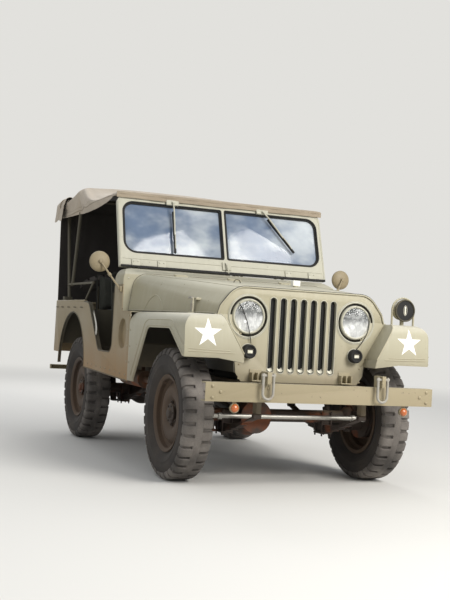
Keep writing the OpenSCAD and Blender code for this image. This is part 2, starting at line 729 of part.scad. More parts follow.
module marker_lamps() color(amber) car() both_sides() {
  rod_y(-grille_y - 48, -grille_y, marker_x, marker_z, marker_r);
  rod_y(-grille_y - e, -grille_y + 34, marker_x, marker_z, 26 - seat);
  rod_y(-bumper_front - 2, -bumper_front + 20, turn_x, turn_z, 24);
}

drive_x = body_half - 105;
drive_y = -300;
drive_z = 1047;
guard_r = 74;
module drive_lamp() color(paint) car() {
  // lamp body on its stem
  rod_y(drive_y - 30, drive_y + 26, drive_x, drive_z, 56);
  translate([drive_x, drive_y + 24, drive_z]) rotate([-90, 0, 0]) cylinder(h = 46, r1 = 52, r2 = 26);
  translate([drive_x, drive_y, fender_top]) cylinder(h = 40, r = 12);
  // hoop guard round it; its outer leg stands on the fender's rounded edge
  translate([drive_x, drive_y - 8, drive_z]) {
    rotate([90, 0, 0]) rotate_extrude(angle = 180) translate([guard_r, 0]) circle(r = 6);
    for (s = [-1, 1]) translate([s * guard_r, 0, (s > 0 ? fender_top - 11 : fender_top + seat) - drive_z])
      cylinder(h = drive_z - fender_top + (s > 0 ? 11 : -seat), r = 6);
  }
}

module tail_lamps() color(red) car() both_sides() {
  rod_y(tub_rear, tub_rear + 38, body_half - 75, 905, 48);
  rod_y(tub_rear, tub_rear + 14, body_half - 75, 800, 38);
}

// ---------------------------------------------------------------- windshield, wipers, mirrors

// Puts its children on the windshield: x across, y through it, z up its slope
module on_shield() { translate([0, shield_y, shield_z]) rotate([-rake, 0, 0]) children(); }

module pane(side, inset) {
  outline = rounded([[side * (post_half + inset), pane_low + inset, pane_r], [side * (pane_out - inset), pane_low + inset, pane_r],
    [side * (pane_out - inset), pane_top - inset, pane_r], [side * (post_half + inset), pane_top - inset, pane_r]], 8);
  front_plate(inset > 0 ? -3 : -shield_t, inset > 0 ? 3 : shield_t, outline);
}

module windshield_frame() color(paint) car() {
  difference() {
    on_shield() difference() {
      front_plate(-shield_t / 2, shield_t / 2, rounded(mirrored([[shield_half, -30, 0], [shield_half, shield_h, 42]]), 8));
      for (s = [-1, 1]) pane(s, 0);
    }
    block([-body_half - e, shield_y - 120, cowl_top - 60], [body_half + e, shield_y + 120, cowl_top + seal_h]);
  }
  // strip that seals the frame's foot on the cowl
  block([-shield_half + 6, shield_y - 14, cowl_top], [shield_half - 6, shield_y + 14, cowl_top + seal_h]);
}

module window_panes() color(clear) car() {
  on_shield() for (s = [-1, 1]) pane(s, seat);
  on_curtain() curtain_opening(1, seat);
}

module wiper(x, swing) on_shield() translate([x, -shield_t / 2, pane_top + 8]) {
  rotate([90, 0, 0]) cylinder(h = 30, r = 9);
  rotate([0, swing, 0]) {
    block([-4, -30, -230], [4, -24, 0]);
    block([-5, -24, -340], [5, -14, -95]);
  }
}
module wipers() color(dark) car() {
  wiper(-372, 0);
  wiper(300, -38);
}

mirror_x = body_half + 125;
mirror_y = 905;
mirror_z = 1272;
module mirrors() color(paint) car() both_sides() {
  translate([mirror_x, mirror_y, mirror_z]) rotate([90, 0, 0]) cylinder(h = 22, r = 68, center = true);
  bar([body_half + 14, 795, 1100], [mirror_x - 10, mirror_y - 6, mirror_z - 12], 7);
  translate([body_half + 14, 795, 1100]) sphere(r = 7);
  block([body_half, 775, 1080], [body_half + 16, 815, 1116]);
}

// ---------------------------------------------------------------- cloth top

roof_section = rounded(mirrored([[roof_half, 1660, 0], [roof_half, roof_top - 18, 130], [300, roof_top, 0]]), 10);
roof_section_in = rounded(mirrored([[roof_half - cloth, 1650, 0], [roof_half - cloth, roof_top - 18 - cloth, 124], [300, roof_top - cloth, 0]]), 10);
roof_front = shield_top_y - 27.5;
roof_profile = rounded([[roof_front, shield_top_z - 8, 0], [roof_front, shield_top_z + 14, 10], [crest_y - 620, roof_top - 70, 500],
  [crest_y, roof_top, 500], [roof_rear, roof_top - 30, 60], [roof_rear, 1700, 0],
  [crest_y - 100, 1715, 800], [shield_top_y + 150, shield_top_z + 16, 200]], 8);

// The cloth's underside rises in a line to the shoulder, and clears the front edge of the windshield's top
shoulder = [crest_y - 620, roof_top - 70 - cloth];
frame_edge = [shield_top_y - shield_t / 2 * cos(rake), shield_top_z + shield_t / 2 * sin(rake) + 2 * seat];
edge_share = (frame_edge[0] - roof_front - cloth) / (shoulder[0] - roof_front - cloth);
roof_front_inside = (frame_edge[1] - shoulder[1] * edge_share) / (1 - edge_share);
roof_hollow = rounded([[roof_front + cloth, shield_top_z - 60, 0], [roof_front + cloth, roof_front_inside, 6],
  [shoulder[0], shoulder[1], 500],
  [crest_y, roof_top - cloth, 500], [roof_rear - cloth, roof_top - 30 - cloth, 54], [roof_rear - cloth, 1600, 0]], 8);

module canvas_roof() color(canvas) car() difference() {
  intersection() {
    side_plate(-roof_half - e, roof_half + e, roof_profile);
    front_plate(roof_front - 10, roof_rear + 10, roof_section);
  }
  intersection() {
    side_plate(-roof_half, roof_half, roof_hollow);
    front_plate(roof_front - 10, roof_rear + 10, roof_section_in);
  }
}

// Puts its children on the rear curtain: x across, y through it, z up its slope
module on_curtain() translate([0, curtain_foot[0], curtain_foot[1]]) rotate([-curtain_lean, 0, 0]) children();

module curtain_opening(half_t, inset) {
  half = curtain_window_half - inset;
  front_plate(-half_t, half_t, rounded([
    [-half, curtain_window_low + inset, 40], [half, curtain_window_low + inset, 40],
    [half, curtain_window_top - inset, 40], [-half, curtain_window_top - inset, 40]]));
}

module rear_curtain() color(canvas) car() on_curtain() difference() {
  half = roof_half - cloth - 2;
  front_plate(-cloth / 2, cloth / 2, rounded([[-half, 0, 0], [half, 0, 0], [half, curtain_h, 60], [-half, curtain_h, 60]]));
  curtain_opening(cloth, 0);
}

// A bow: two legs, two bends and a cross tube, standing on the point foot
module bow(foot, lean, length) translate([0, foot[0], foot[1]]) rotate([-lean, 0, 0]) {
  bend = 110;
  both_sides() {
    translate([bow_x, 0, 0]) cylinder(h = length - bend, r = bow_r);
    translate([bow_x - bend, 0, length - bend]) rotate([90, 0, 0])
      rotate_extrude(angle = 90) translate([bend, 0]) circle(r = bow_r);
  }
  rod_x(-bow_x + bend, bow_x - bend, 0, length, bow_r);
}

module top_bows() color(paint) car() {
  bow(rear_bow_foot, rear_bow_lean, (bow_top - 34 - rear_bow_foot[1]) / cos(rear_bow_lean));
  bow(main_bow_foot, main_bow_lean, (bow_top - 12 - main_bow_foot[1]) / cos(main_bow_lean));
  both_sides() {
    stay_front = wheelbase - 296;
    // socket on the tub's wall for the rear bow
    block([bow_x - 20, rear_bow_foot[0] - 24, tub_top - 50], [body_half - 2 * rail_tube_r - seat, rear_bow_foot[0] + 24, rear_bow_foot[1] + 10]);
    // stay from the rear bow through the main bow's foot, and its front leg on the tub's rail
    rod_y(stay_front, rear_bow_foot[0] + 28, bow_x, main_bow_foot[1], 9);
    translate([bow_x, main_bow_foot[0], main_bow_foot[1]]) sphere(r = bow_r + 4);
    bar([bow_x, stay_front, main_bow_foot[1]], [body_half - rail_tube_r - 8, stay_front, tub_top + rail_tube_r + 6], 8);
    translate([bow_x, stay_front, main_bow_foot[1]]) sphere(r = 12);
  }
}

strap_y = door_front + door_w + 193;
module door_straps() color([0.85, 0.84, 0.80]) car() both_sides()
  block([body_half - sheet - 3 - seat, strap_y, door_foot + 47], [body_half - sheet - seat, strap_y + 30, door_foot + 257]);

// ---------------------------------------------------------------- seats

module back_pad(half, t, h) front_plate(-t / 2, t / 2, rounded(mirrored([[half, 0, 20], [half, h, 60]])));

// Puts its children on a seat's back: y through the pad, z up its slope
module on_front_back(x)
  translate([x, cushion_front + cushion_l + back_t / 2 + 12, cushion_z + 60]) rotate([-back_lean, 0, 0]) children();
module on_bench_back()
  translate([0, bench_front + bench_l + 48, bench_z + 60]) rotate([-bench_lean, 0, 0]) children();

module front_seat(x) {
  translate([x, cushion_front, cushion_z]) linear_extrude(cushion_t) polygon(rounded([
    [-seat_half, 0, 50], [seat_half, 0, 50], [seat_half, cushion_l, 30], [-seat_half, cushion_l, 30]]));
  on_front_back(x) back_pad(seat_half, back_t, back_h);
}
module driver_seat() color(pad) car() front_seat(seat_x);
module passenger_seat() color(pad) car() front_seat(-seat_x);

module rear_seat() color(pad) car() {
  block([-bench_half, bench_front, bench_z], [bench_half, bench_front + bench_l, bench_z + 80]);
  on_bench_back() back_pad(bench_half, bench_t, 320);
}

// Tubes under each cushion; feet is the distance from its front to the two rows of legs
module seat_base(x, half, y0, length, z, floor_level, feet) translate([x, 0, 0]) {
  xt = half - 30;
  low = z - seat_tube_r - seat;
  both_sides() {
    rod_y(y0 + 20, y0 + length, xt, low, seat_tube_r);
    for (f = feet) translate([xt, y0 + f, floor_level]) cylinder(h = low - floor_level, r = seat_tube_r - 2);
  }
  rod_x(-xt, xt, y0 + feet[0], low - 4, seat_tube_r - 4);
}

// Uprights behind a back pad of thickness t, which reach down to the tubes under the cushion
module uprights(half, t, drop, up) both_sides()
  translate([half - 30, t / 2 + seat + seat_tube_r - 1, -drop]) cylinder(h = drop + up, r = seat_tube_r - 1);

module seat_frames() color(paint) car() {
  for (x = [-seat_x, seat_x]) {
    seat_base(x, seat_half, cushion_front, cushion_l + 96, cushion_z, floor_z, [40, cushion_l - 60]);
    on_front_back(x) uprights(seat_half, back_t, 84, 280);
  }
  seat_base(0, bench_half, bench_front, bench_l + 96, bench_z, bed_z, [40, bench_l - 20]);
  on_bench_back() uprights(bench_half, bench_t, 84, 220);
}

// ---------------------------------------------------------------- controls

// Puts its children on the steering column, z up the column from the steering box
module on_column() { translate([wheel_x, box_y, box_z]) rotate([-90 + column_tilt, 0, 0]) children(); }

module driver_controls() color(dark) car() {
  block([rail_in, box_y - 75, rail_front_z + seat], [rail_out + 20, box_y + 75, box_z + 45]);
  on_column() {
    cylinder(h = column_l - 70, r = column_r);
    cylinder(h = column_l + 4, r = shaft_r);
  }
  // a clamp holds the column under the dash
  on_column() translate([0, 0, column_l - 210]) difference() {
    translate([-26, -60, 0]) cube([52, 60, 20]);
    translate([0, 0, -e]) cylinder(h = 22, r = column_r - 1);
  }
  // gear lever, two transfer levers and the hand brake
  for (l = [[0, 900, 40, 1010, 1000], [-70, 980, -90, 1010, 900], [-110, 990, -140, 1010, 890]]) {
    bar([l[0], l[1], floor_z + 12], [l[2], l[3], l[4]], 8, 45);
    translate([l[2], l[3], l[4] - 14]) cylinder(h = 32, r = 16);
  }
  // tunnel cover over the gearbox
  block([-130, firewall_y + 150, floor_z], [130, 1085, floor_z + 40]);
}

module steering_wheel() color(dark) car() on_column() translate([0, 0, column_l]) {
  difference() {
    translate([0, 0, -35]) cylinder(h = 55, r = 32);
    translate([0, 0, -36]) cylinder(h = 44, r = shaft_r + run);
  }
  translate([0, 0, 20]) rotate_extrude() translate([rim_d / 2 - 11, 0]) circle(r = 11);
  for (a = [90, 210, 330]) rotate([0, 0, a]) bar([28, 0, 6], [rim_d / 2 - 12, 0, 20], 6);
}

// ---------------------------------------------------------------- wheels and steering

// A wheel's own frame: x outboard, its middle plane at x = 0
module tyre_form() rotate([0, 90, 0]) rotate_extrude() {
  half = tyre_w / 2;
  bead = half - 33;
  right = [[rim_r + seat, bead], [rim_r + 20, bead], [tyre_r - 78, half], [tyre_r - 20, half - 8],
    [tyre_r - 4, half - 19], [tyre_r, half - 34]];
  polygon(concat(right, [for (i = [len(right) - 1:-1:0]) [right[i][0], -right[i][1]]]));
}

module wheel_form(bored) rotate([0, 90, 0]) difference() {
  half = tyre_w / 2 - 33;
  union() {
    rotate_extrude() polygon([
      [rim_r - 13, -half - 10], [rim_r + 18, -half - 10], [rim_r + 18, -half - seat], [rim_r, -half - seat],
      [rim_r, half + seat], [rim_r + 18, half + seat], [rim_r + 18, half + 10], [rim_r - 13, half + 10]]);
    // dished disc
    rotate_extrude() polygon([
      [0, 20], [70, 20], [110, 44], [150, 44], [rim_r - 10, 18], [rim_r - 10, 10], [148, 36], [112, 36], [74, 12], [0, 12]]);
    translate([0, 0, -40]) cylinder(h = 84, r = hub_r);
    translate([0, 0, -40]) cylinder(h = 54, r = drum_r);
  }
  if (bored) translate([0, 0, -41]) cylinder(h = 73, r = spindle_r + run);
}

module at_wheel(side, y) car() translate([0, y, axle_z]) mirror([side < 0 ? 1 : 0, 0, 0]) translate([track / 2, 0, 0]) children();

module tyre_front_left() color(rubber) at_wheel(1, 0) tyre_form();
module tyre_front_right() color(rubber) at_wheel(-1, 0) tyre_form();
module tyre_rear_left() color(rubber) at_wheel(1, wheelbase) tyre_form();
module tyre_rear_right() color(rubber) at_wheel(-1, wheelbase) tyre_form();
module wheel_front_left() color(rust) at_wheel(1, 0) wheel_form(true);
module wheel_front_right() color(rust) at_wheel(-1, 0) wheel_form(true);
module wheel_rear_left() color(rust) at_wheel(1, wheelbase) wheel_form(true);
module wheel_rear_right() color(rust) at_wheel(-1, wheelbase) wheel_form(true);

module at_spare() car() translate([spare_x, tub_rear + spare_gap + tyre_w / 2, spare_z]) rotate([0, 0, 90]) children();
module spare_tyre() color(rubber) at_spare() tyre_form();
module spare_wheel() color(rust) {
  at_spare() wheel_form(false);
  // carrier between the tub and the wheel's middle
  car() rod_y(tub_rear, tub_rear + spare_gap + tyre_w / 2 - 20, spare_x, spare_z, 60);
}

module knuckle() {
  plate = track / 2 - kingpin_x - plate_x;
  // housing round the outer half of the axle's ball, with pivot caps above and below
  difference() {
    rod_x(0, plate - 2, 0, 0, housing_r);
    sphere(r = ball_r + ball_fit);
  }
  for (z = [ball_r + 4, -housing_r - 10]) translate([0, 0, z]) cylinder(h = housing_r + 6 - ball_r, r = 24);
  rod_x(plate - 5, plate, 0, 0, drum_r);
  rod_x(plate - 2, track / 2 - kingpin_x + 30, 0, 0, spindle_r);
  // steering arm and its stud, down into the tie rod
  block([-12, -steer_arm, arm_z - axle_z], [12, -64, arm_z - axle_z + arm_t]);
  translate([0, -steer_arm, arm_z - axle_z]) cylinder(h = arm_t, r = 18);
  translate([0, -steer_arm, tie_z - axle_z - 14]) cylinder(h = arm_z - tie_z + 15, r = stud_r);
}
module knuckle_left() color(rust) car() translate([kingpin_x, 0, axle_z]) knuckle();
module knuckle_right() color(rust) car() translate([-kingpin_x, 0, axle_z]) mirror([1, 0, 0]) knuckle();

module tie_rod() color(steel) car() translate([0, -steer_arm, tie_z]) {
  rod_x(-kingpin_x + 12, kingpin_x - 12, 0, 0, tie_r);
  both_sides() {
    difference() {
      translate([kingpin_x, 0, -17]) cylinder(h = 34, r = 17);
      translate([kingpin_x, 0, -18]) cylinder(h = 36, r = stud_r + run);
    }
    // clamps at the threaded ends
    rod_x(kingpin_x - 80, kingpin_x - 58, 0, 0, tie_r + 6);
  }
}

frame();
front_bumper();
lift_shackles();
rear_bumperettes();
tow_pintle();
front_axle();
rear_axle();
suspension();
engine();
drive_train();
exhaust();
fuel_tank();
radiator();
floor_pan();
side_left();
side_right();
rear_panel();
cowl();
fender_left();
fender_right();
grille();
hood();
hood_latches();
headlights();
marker_lamps();
drive_lamp();
tail_lamps();
windshield_frame();
window_panes();
wipers();
mirrors();
canvas_roof();
rear_curtain();
top_bows();
door_straps();
driver_seat();
passenger_seat();
rear_seat();
seat_frames();
driver_controls();
steering_wheel();
knuckle_left();
knuckle_right();
tie_rod();
tyre_front_left();
tyre_front_right();
tyre_rear_left();
tyre_rear_right();
wheel_front_left();
wheel_front_right();
wheel_rear_left();
wheel_rear_right();
spare_tyre();
spare_wheel();
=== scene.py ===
# %% [markdown]
# # A light 4x4 field car
# The CAD frame already holds every part at its true size: rails, axles, panels, bows and seats. This lesson
# puts the looks around it: tyres with their tread, lamps with bowls and lenses, rubber seals, a canvas top
# that hangs on its bows, padded seats, and paint that has stood in the sun. Every piece is made in metres,
# in the frame's own place, so nothing has to be fitted afterwards.

# %% Load the frame
import math

import bpy
from mathutils import Matrix, Vector, noise


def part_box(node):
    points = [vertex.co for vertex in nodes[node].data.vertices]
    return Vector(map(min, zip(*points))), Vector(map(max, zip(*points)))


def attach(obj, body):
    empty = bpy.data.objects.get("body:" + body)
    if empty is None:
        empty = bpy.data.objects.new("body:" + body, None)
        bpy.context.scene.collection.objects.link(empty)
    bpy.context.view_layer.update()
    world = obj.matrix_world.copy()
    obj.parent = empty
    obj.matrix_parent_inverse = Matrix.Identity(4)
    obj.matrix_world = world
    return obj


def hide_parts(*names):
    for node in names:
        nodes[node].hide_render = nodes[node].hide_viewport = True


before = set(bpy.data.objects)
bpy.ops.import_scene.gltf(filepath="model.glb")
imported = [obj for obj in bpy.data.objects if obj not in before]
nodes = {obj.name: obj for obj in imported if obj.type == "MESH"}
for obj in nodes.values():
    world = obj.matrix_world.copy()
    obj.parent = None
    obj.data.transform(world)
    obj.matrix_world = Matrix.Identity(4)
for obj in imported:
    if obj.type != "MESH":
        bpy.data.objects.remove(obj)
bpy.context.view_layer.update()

# %% [markdown]
# The vehicle was laid out from its front axle, so lengths here are measured backwards from that axle too.
# `at` turns such a place into a point of the frame. A few driving sizes are read from the CAD nodes.

# %% Where things are
low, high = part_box("tyre_front_left")
AXLE_Y = (low.y + high.y) / 2
WHEEL_X = (low.x + high.x) / 2
TYRE_R = (high.z - low.z) / 2
low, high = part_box("tyre_rear_left")
WHEELBASE = (low.y + high.y) / 2 - AXLE_Y
BODY_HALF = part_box("side_left")[1].x
SIDE_SIGNS = (1, -1)
SIDES = ((1, "left"), (-1, "right"))


def at(x, y, z):
    return Vector((x, AXLE_Y + y, z))


GRILLE_Y = -0.305
LAMP_X, LAMP_Z = 0.342, 0.957
MARKER_X, MARKER_Z = 0.339, 0.762
print("front axle at", round(AXLE_Y, 4), "wheelbase", round(WHEELBASE, 3), "half width", round(BODY_HALF, 3))

# %% [markdown]
# ## Bench tools
# Blender's operators act on whatever is selected, and the frame arrives with everything selected. So each
# tool begins by letting go of everything. The tools stay close to work by hand: a chain of edges is drawn
# by extruding one vertex, a turned part is that chain spun round an axis, a pipe is the chain given a round
# thickness, and a slab is the closed chain filled and pulled out.


# %% Select, place and copy
def let_go():
    if bpy.context.object and bpy.context.object.mode != "OBJECT":
        bpy.ops.object.mode_set(mode="OBJECT")
    bpy.ops.object.select_all(action="DESELECT")


def take(*objects):
    let_go()
    for one in objects:
        one.select_set(True)
    bpy.context.view_layer.objects.active = objects[0]
    return objects[0]


def edit(thing, pick="SELECT"):
    take(thing)
    bpy.ops.object.mode_set(mode="EDIT")
    bpy.ops.mesh.select_all(action=pick)


def settle(thing):
    """Bakes an object's place, turn and size into its mesh, so that the object sits at the origin."""
    take(thing)
    bpy.ops.object.transform_apply(location=True, rotation=True, scale=True)
    return thing


def moved(thing, matrix):
    """Puts a piece drawn at the origin in its place. A mirrored one gets its faces turned outwards."""
    thing.data.transform(matrix)
    if matrix.determinant() < 0:
        thing.data.flip_normals()
    return thing


def copy_of(thing, matrix):
    twin = bpy.data.objects.new(thing.name, thing.data.copy())
    bpy.context.scene.collection.objects.link(twin)
    return moved(twin, matrix)


def joined(things):
    take(*things)
    if len(things) > 1:
        bpy.ops.object.join()
    return bpy.context.object


def spot(x, y, z):
    return Matrix.Translation(at(x, y, z))


def cosine(degrees):
    return math.cos(math.radians(degrees))


def sine(degrees):
    return math.sin(math.radians(degrees))


def turn(degrees, axis):
    return Matrix.Rotation(math.radians(degrees), 4, axis)


MIRROR = Matrix.Scale(-1, 4, (1, 0, 0))


# %% Draw, spin, pipe and slab
def chain(points, closed=False):
    """Edges through the points, extruded from one vertex."""
    let_go()
    bpy.ops.mesh.primitive_plane_add(size=0.01)
    thing = bpy.context.object
    bpy.ops.object.mode_set(mode="EDIT")
    bpy.ops.mesh.merge(type="CENTER")
    bpy.ops.transform.translate(value=points[0])
    route = list(points) + ([points[0]] if closed else [])
    for a, b in zip(route, route[1:]):
        bpy.ops.mesh.extrude_region_move(TRANSFORM_OT_translate={"value": Vector(b) - Vector(a)})
    bpy.ops.mesh.select_all(action="SELECT")
    bpy.ops.mesh.remove_doubles(threshold=1e-5)
    bpy.ops.object.mode_set(mode="OBJECT")
    return thing


def outwards(thing):
    edit(thing)
    bpy.ops.mesh.remove_doubles(threshold=1e-5)
    bpy.ops.mesh.normals_make_consistent(inside=False)
    bpy.ops.object.mode_set(mode="OBJECT")
    return thing


def spun(profile, axis, steps=48):
    """A turned part: profile is (radius, height) along the axis."""
    point = {"X": lambda r, h: (h, r, 0), "Y": lambda r, h: (r, h, 0), "Z": lambda r, h: (r, 0, h)}[axis]
    thing = chain([point(r, h) for r, h in profile])
    edit(thing)
    way = {"X": (1, 0, 0), "Y": (0, 1, 0), "Z": (0, 0, 1)}[axis]
    bpy.ops.mesh.spin(steps=steps, angle=2 * math.pi, center=(0, 0, 0), axis=way)
    return outwards(thing)


def thickened(line, radius, sides=3):
    """Turns a line of edges into a round bar with closed ends."""
    take(line)
    bpy.ops.object.convert(target="CURVE")
    curve = bpy.context.object.data
    curve.bevel_depth, curve.bevel_resolution, curve.use_fill_caps = radius, sides, True
    bpy.ops.object.convert(target="MESH")
    return outwards(bpy.context.object)


def pipe(points, radius, closed=False):
    """A round bar or wire along the points."""
    return thickened(chain(points, closed), radius)


def slab(outline, pull):
    """A closed outline filled and pulled out by a vector."""
    thing = chain(outline, closed=True)
    edit(thing)
    bpy.ops.mesh.edge_face_add()
    bpy.ops.mesh.extrude_region_move(TRANSFORM_OT_translate={"value": Vector(pull)})
    return outwards(thing)


def brick(low_corner, high_corner):
    """A box between two corners, ready to be shaped further."""
    let_go()
    low_corner, high_corner = Vector(low_corner), Vector(high_corner)
    bpy.ops.mesh.primitive_cube_add(size=1, location=(low_corner + high_corner) / 2)
    bpy.context.object.scale = high_corner - low_corner
    return settle(bpy.context.object)


def grid_of(columns, rows, shape):
    """A grid whose vertex at (u, v), each from 0 to 1, is put where shape says."""
    let_go()
    bpy.ops.mesh.primitive_grid_add(x_subdivisions=columns, y_subdivisions=rows, size=1)
    thing = bpy.context.object
    for vertex in thing.data.vertices:
        vertex.co = shape(vertex.co.x + 0.5, vertex.co.y + 0.5)
    return thing


# %% Soften, smooth and finish
def modify(thing, kind, **settings):
    take(thing)
    modifier = thing.modifiers.new(kind, kind)
    for key, value in settings.items():
        setattr(modifier, key, value)
    bpy.ops.object.modifier_apply(modifier=modifier.name)
    return thing


def smooth(thing, degrees=35):
    take(thing)
    bpy.ops.object.shade_smooth_by_angle(angle=math.radians(degrees))
    return thing


def soften(thing, width=0.002, segments=2, degrees=35):
    """Rounds every sharp edge a little, because no real edge is a knife."""
    modify(thing, "BEVEL", width=width, segments=segments, limit_method="ANGLE",
           angle_limit=math.radians(degrees), use_clamp_overlap=True, harden_normals=False)
    return smooth(thing, degrees)


def turned(profile, axis="Y", steps=48, degrees=40):
    """A turned part with its round faces shaded smooth."""
    return smooth(spun(profile, axis, steps), degrees)


def cut_away(thing, tool):
    """Takes the tool piece's space out of a thing and throws the tool away."""
    modify(thing, "BOOLEAN", object=tool, operation="DIFFERENCE", solver="EXACT")
    bpy.data.objects.remove(tool)


def dress(thing, name, finish, slot, body="chassis", replaces=()):
    """Names a finished piece, paints it and fixes it to the body that it moves with."""
    thing.name = name
    thing.data.name = name
    thing.data.materials.clear()
    thing.data.materials.append(finish)
    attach(thing, body)
    if replaces:
        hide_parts(*replaces)
    return thing


def rounded(corners, steps=6):
    """An outline from corners (a, b, radius), with an arc at each corner."""
    points = []
    for k, (a, b, radius) in enumerate(corners):
        here = Vector((a, b))
        if radius <= 0:
            points.append(here)
            continue
        before = (Vector(corners[k - 1][:2]) - here).normalized()
        after = (Vector(corners[(k + 1) % len(corners)][:2]) - here).normalized()
        half = before.angle(after) / 2
        middle = here + (before + after).normalized() * radius / math.sin(half)
        start = here + before * radius / math.tan(half) - middle
        swing = start.angle_signed(here + after * radius / math.tan(half) - middle)
        for step in range(steps + 1):
            angle = -swing * step / steps
            c, s = math.cos(angle), math.sin(angle)
            points.append(middle + Vector((start.x * c - start.y * s, start.x * s + start.y * c)))
    return points


def ring(radius, count, start=0.0):
    """Angles and points round a circle, as (angle in degrees, a, b)."""
    for k in range(count):
        angle = start + 360 * k / count
        yield angle, radius * cosine(angle), radius * sine(angle)

# %% [markdown]
# ## Shader sums
# A worn surface is a pile of masks: streaks times height, dust where the face looks up, chips where a noise
# passes a limit. Wired by hand that is dozens of Math nodes. One small class wraps a socket and overloads
# the operators, so that `1 - mask * 0.5` adds its own nodes, and `node` makes any other node from its
# settings and its inputs.


# %% One class for sockets, one for a finish
class Tap:
    def __init__(self, finish, socket):
        self.finish, self.socket = finish, socket

    def math(self, operation, a, b):
        return self.finish.node("ShaderNodeMath", {"operation": operation}, {0: a, 1: b})

    def __add__(self, other):
        return self.math("ADD", self, other)

    def __sub__(self, other):
        return self.math("SUBTRACT", self, other)

    def __rsub__(self, other):
        return self.math("SUBTRACT", other, self)

    def __mul__(self, other):
        return self.math("MULTIPLY", self, other)

    def __truediv__(self, other):
        return self.math("DIVIDE", self, other)

    def __gt__(self, other):
        return self.math("GREATER_THAN", self, other)

    def __lt__(self, other):
        return self.math("LESS_THAN", self, other)

    __radd__ = __add__
    __rmul__ = __mul__

    def between(self, low, high):
        """0 below low, 1 above high and smooth between them. Low may be the larger one."""
        return self.finish.node("ShaderNodeMapRange", {"interpolation_type": "SMOOTHSTEP"},
                                {"Value": self, "From Min": low, "From Max": high})


class Finish:
    def __init__(self, name):
        self.material = bpy.data.materials.new(name)
        self.material.use_nodes = True
        self.tree = self.material.node_tree
        self.tree.nodes.clear()
        self.place = self.node("ShaderNodeTexCoord", out="Object")

    def node(self, kind, settings=None, inputs=None, out=0):
        made = self.tree.nodes.new(kind)
        for key, value in (settings or {}).items():
            setattr(made, key, value)
        for key, value in (inputs or {}).items():
            if isinstance(value, Tap):
                self.tree.links.new(value.socket, made.inputs[key])
            else:
                made.inputs[key].default_value = value
        return Tap(self, made.outputs[out])

    def noise(self, scale, detail=4.0, stretch=(1, 1, 1)):
        place = self.node("ShaderNodeMapping", inputs={"Vector": self.place, "Scale": stretch})
        return self.node("ShaderNodeTexNoise", inputs={"Vector": place, "Scale": scale, "Detail": detail})

    def part(self, axis):
        return self.node("ShaderNodeSeparateXYZ", inputs={0: self.place}, out=axis)

    def facing(self, axis):
        normal = self.node("ShaderNodeNewGeometry", out="Normal")
        return self.node("ShaderNodeSeparateXYZ", inputs={0: normal}, out=axis)

    def mix(self, mask, a, b):
        return self.node("ShaderNodeMix", {"data_type": "RGBA"}, {0: mask, 6: a, 7: b}, out=2)

    def bump(self, height, strength=0.3, distance=0.002):
        return self.node("ShaderNodeBump", inputs={"Height": height, "Strength": strength,
                "Distance": distance})

    def surface(self, **sockets):
        inputs = {key.replace("_", " "): value for key, value in sockets.items()}
        shader = self.node("ShaderNodeBsdfPrincipled", inputs=inputs)
        end = self.tree.nodes.new("ShaderNodeOutputMaterial")
        self.tree.links.new(shader.socket, end.inputs["Surface"])
        return self.material


def srgb(red, green, blue):
    """A colour as a paint chart gives it, 0 to 255, turned into the linear light that shaders use."""
    def line(v):
        v /= 255
        return v / 12.92 if v <= 0.04045 else ((v + 0.055) / 1.055) ** 2.4
    return line(red), line(green), line(blue), 1.0


# %% [markdown]
# ## Paint
# The body wears one coat of satin olive drab that the sun has bleached towards khaki. Real paint like this is
# never even: dust settles on faces that look up, rain draws it down in thin upright streaks, mud browns the
# skirts, and small chips show along panels. Faces that look up are also painted paler as painted top light,
# a highlight of the light that falls on them. Object coordinates keep the pattern still on every panel, and
# the same function serves all painted parts with another tone. Some tones are painted shade: a darker copy
# for the tub's sides, and a dark olive for the inside and underneath.


# %% Body paint, with white stars where they belong
def star_mask(finish, centre, radius):
    """A five-pointed star in the upright plane across the car, 1 inside it."""
    dx = finish.part("X")
    dx = finish.node("ShaderNodeMath", {"operation": "ABSOLUTE"}, {0: dx}) - centre[0]
    dz = finish.part("Z") - centre[1]
    inside = None
    for k in range(5):
        # each point of the star is a wedge between two straight edges of the pentagram
        angle = math.radians(90 + 72 * k)
        nx, nz = math.cos(angle), math.sin(angle)
        edge = (dx * nx + dz * nz) < radius * cosine(72)
        inside = edge if inside is None else inside + edge
    return inside > 3.5


STAR_AT, STAR_R = (0.632, 0.853), 0.083
# the front wells lie inside this half width and below this height, behind this place along the car
WELL_HALF, WELL_TOP, WELL_FRONT = 0.752, 0.9515, -0.3


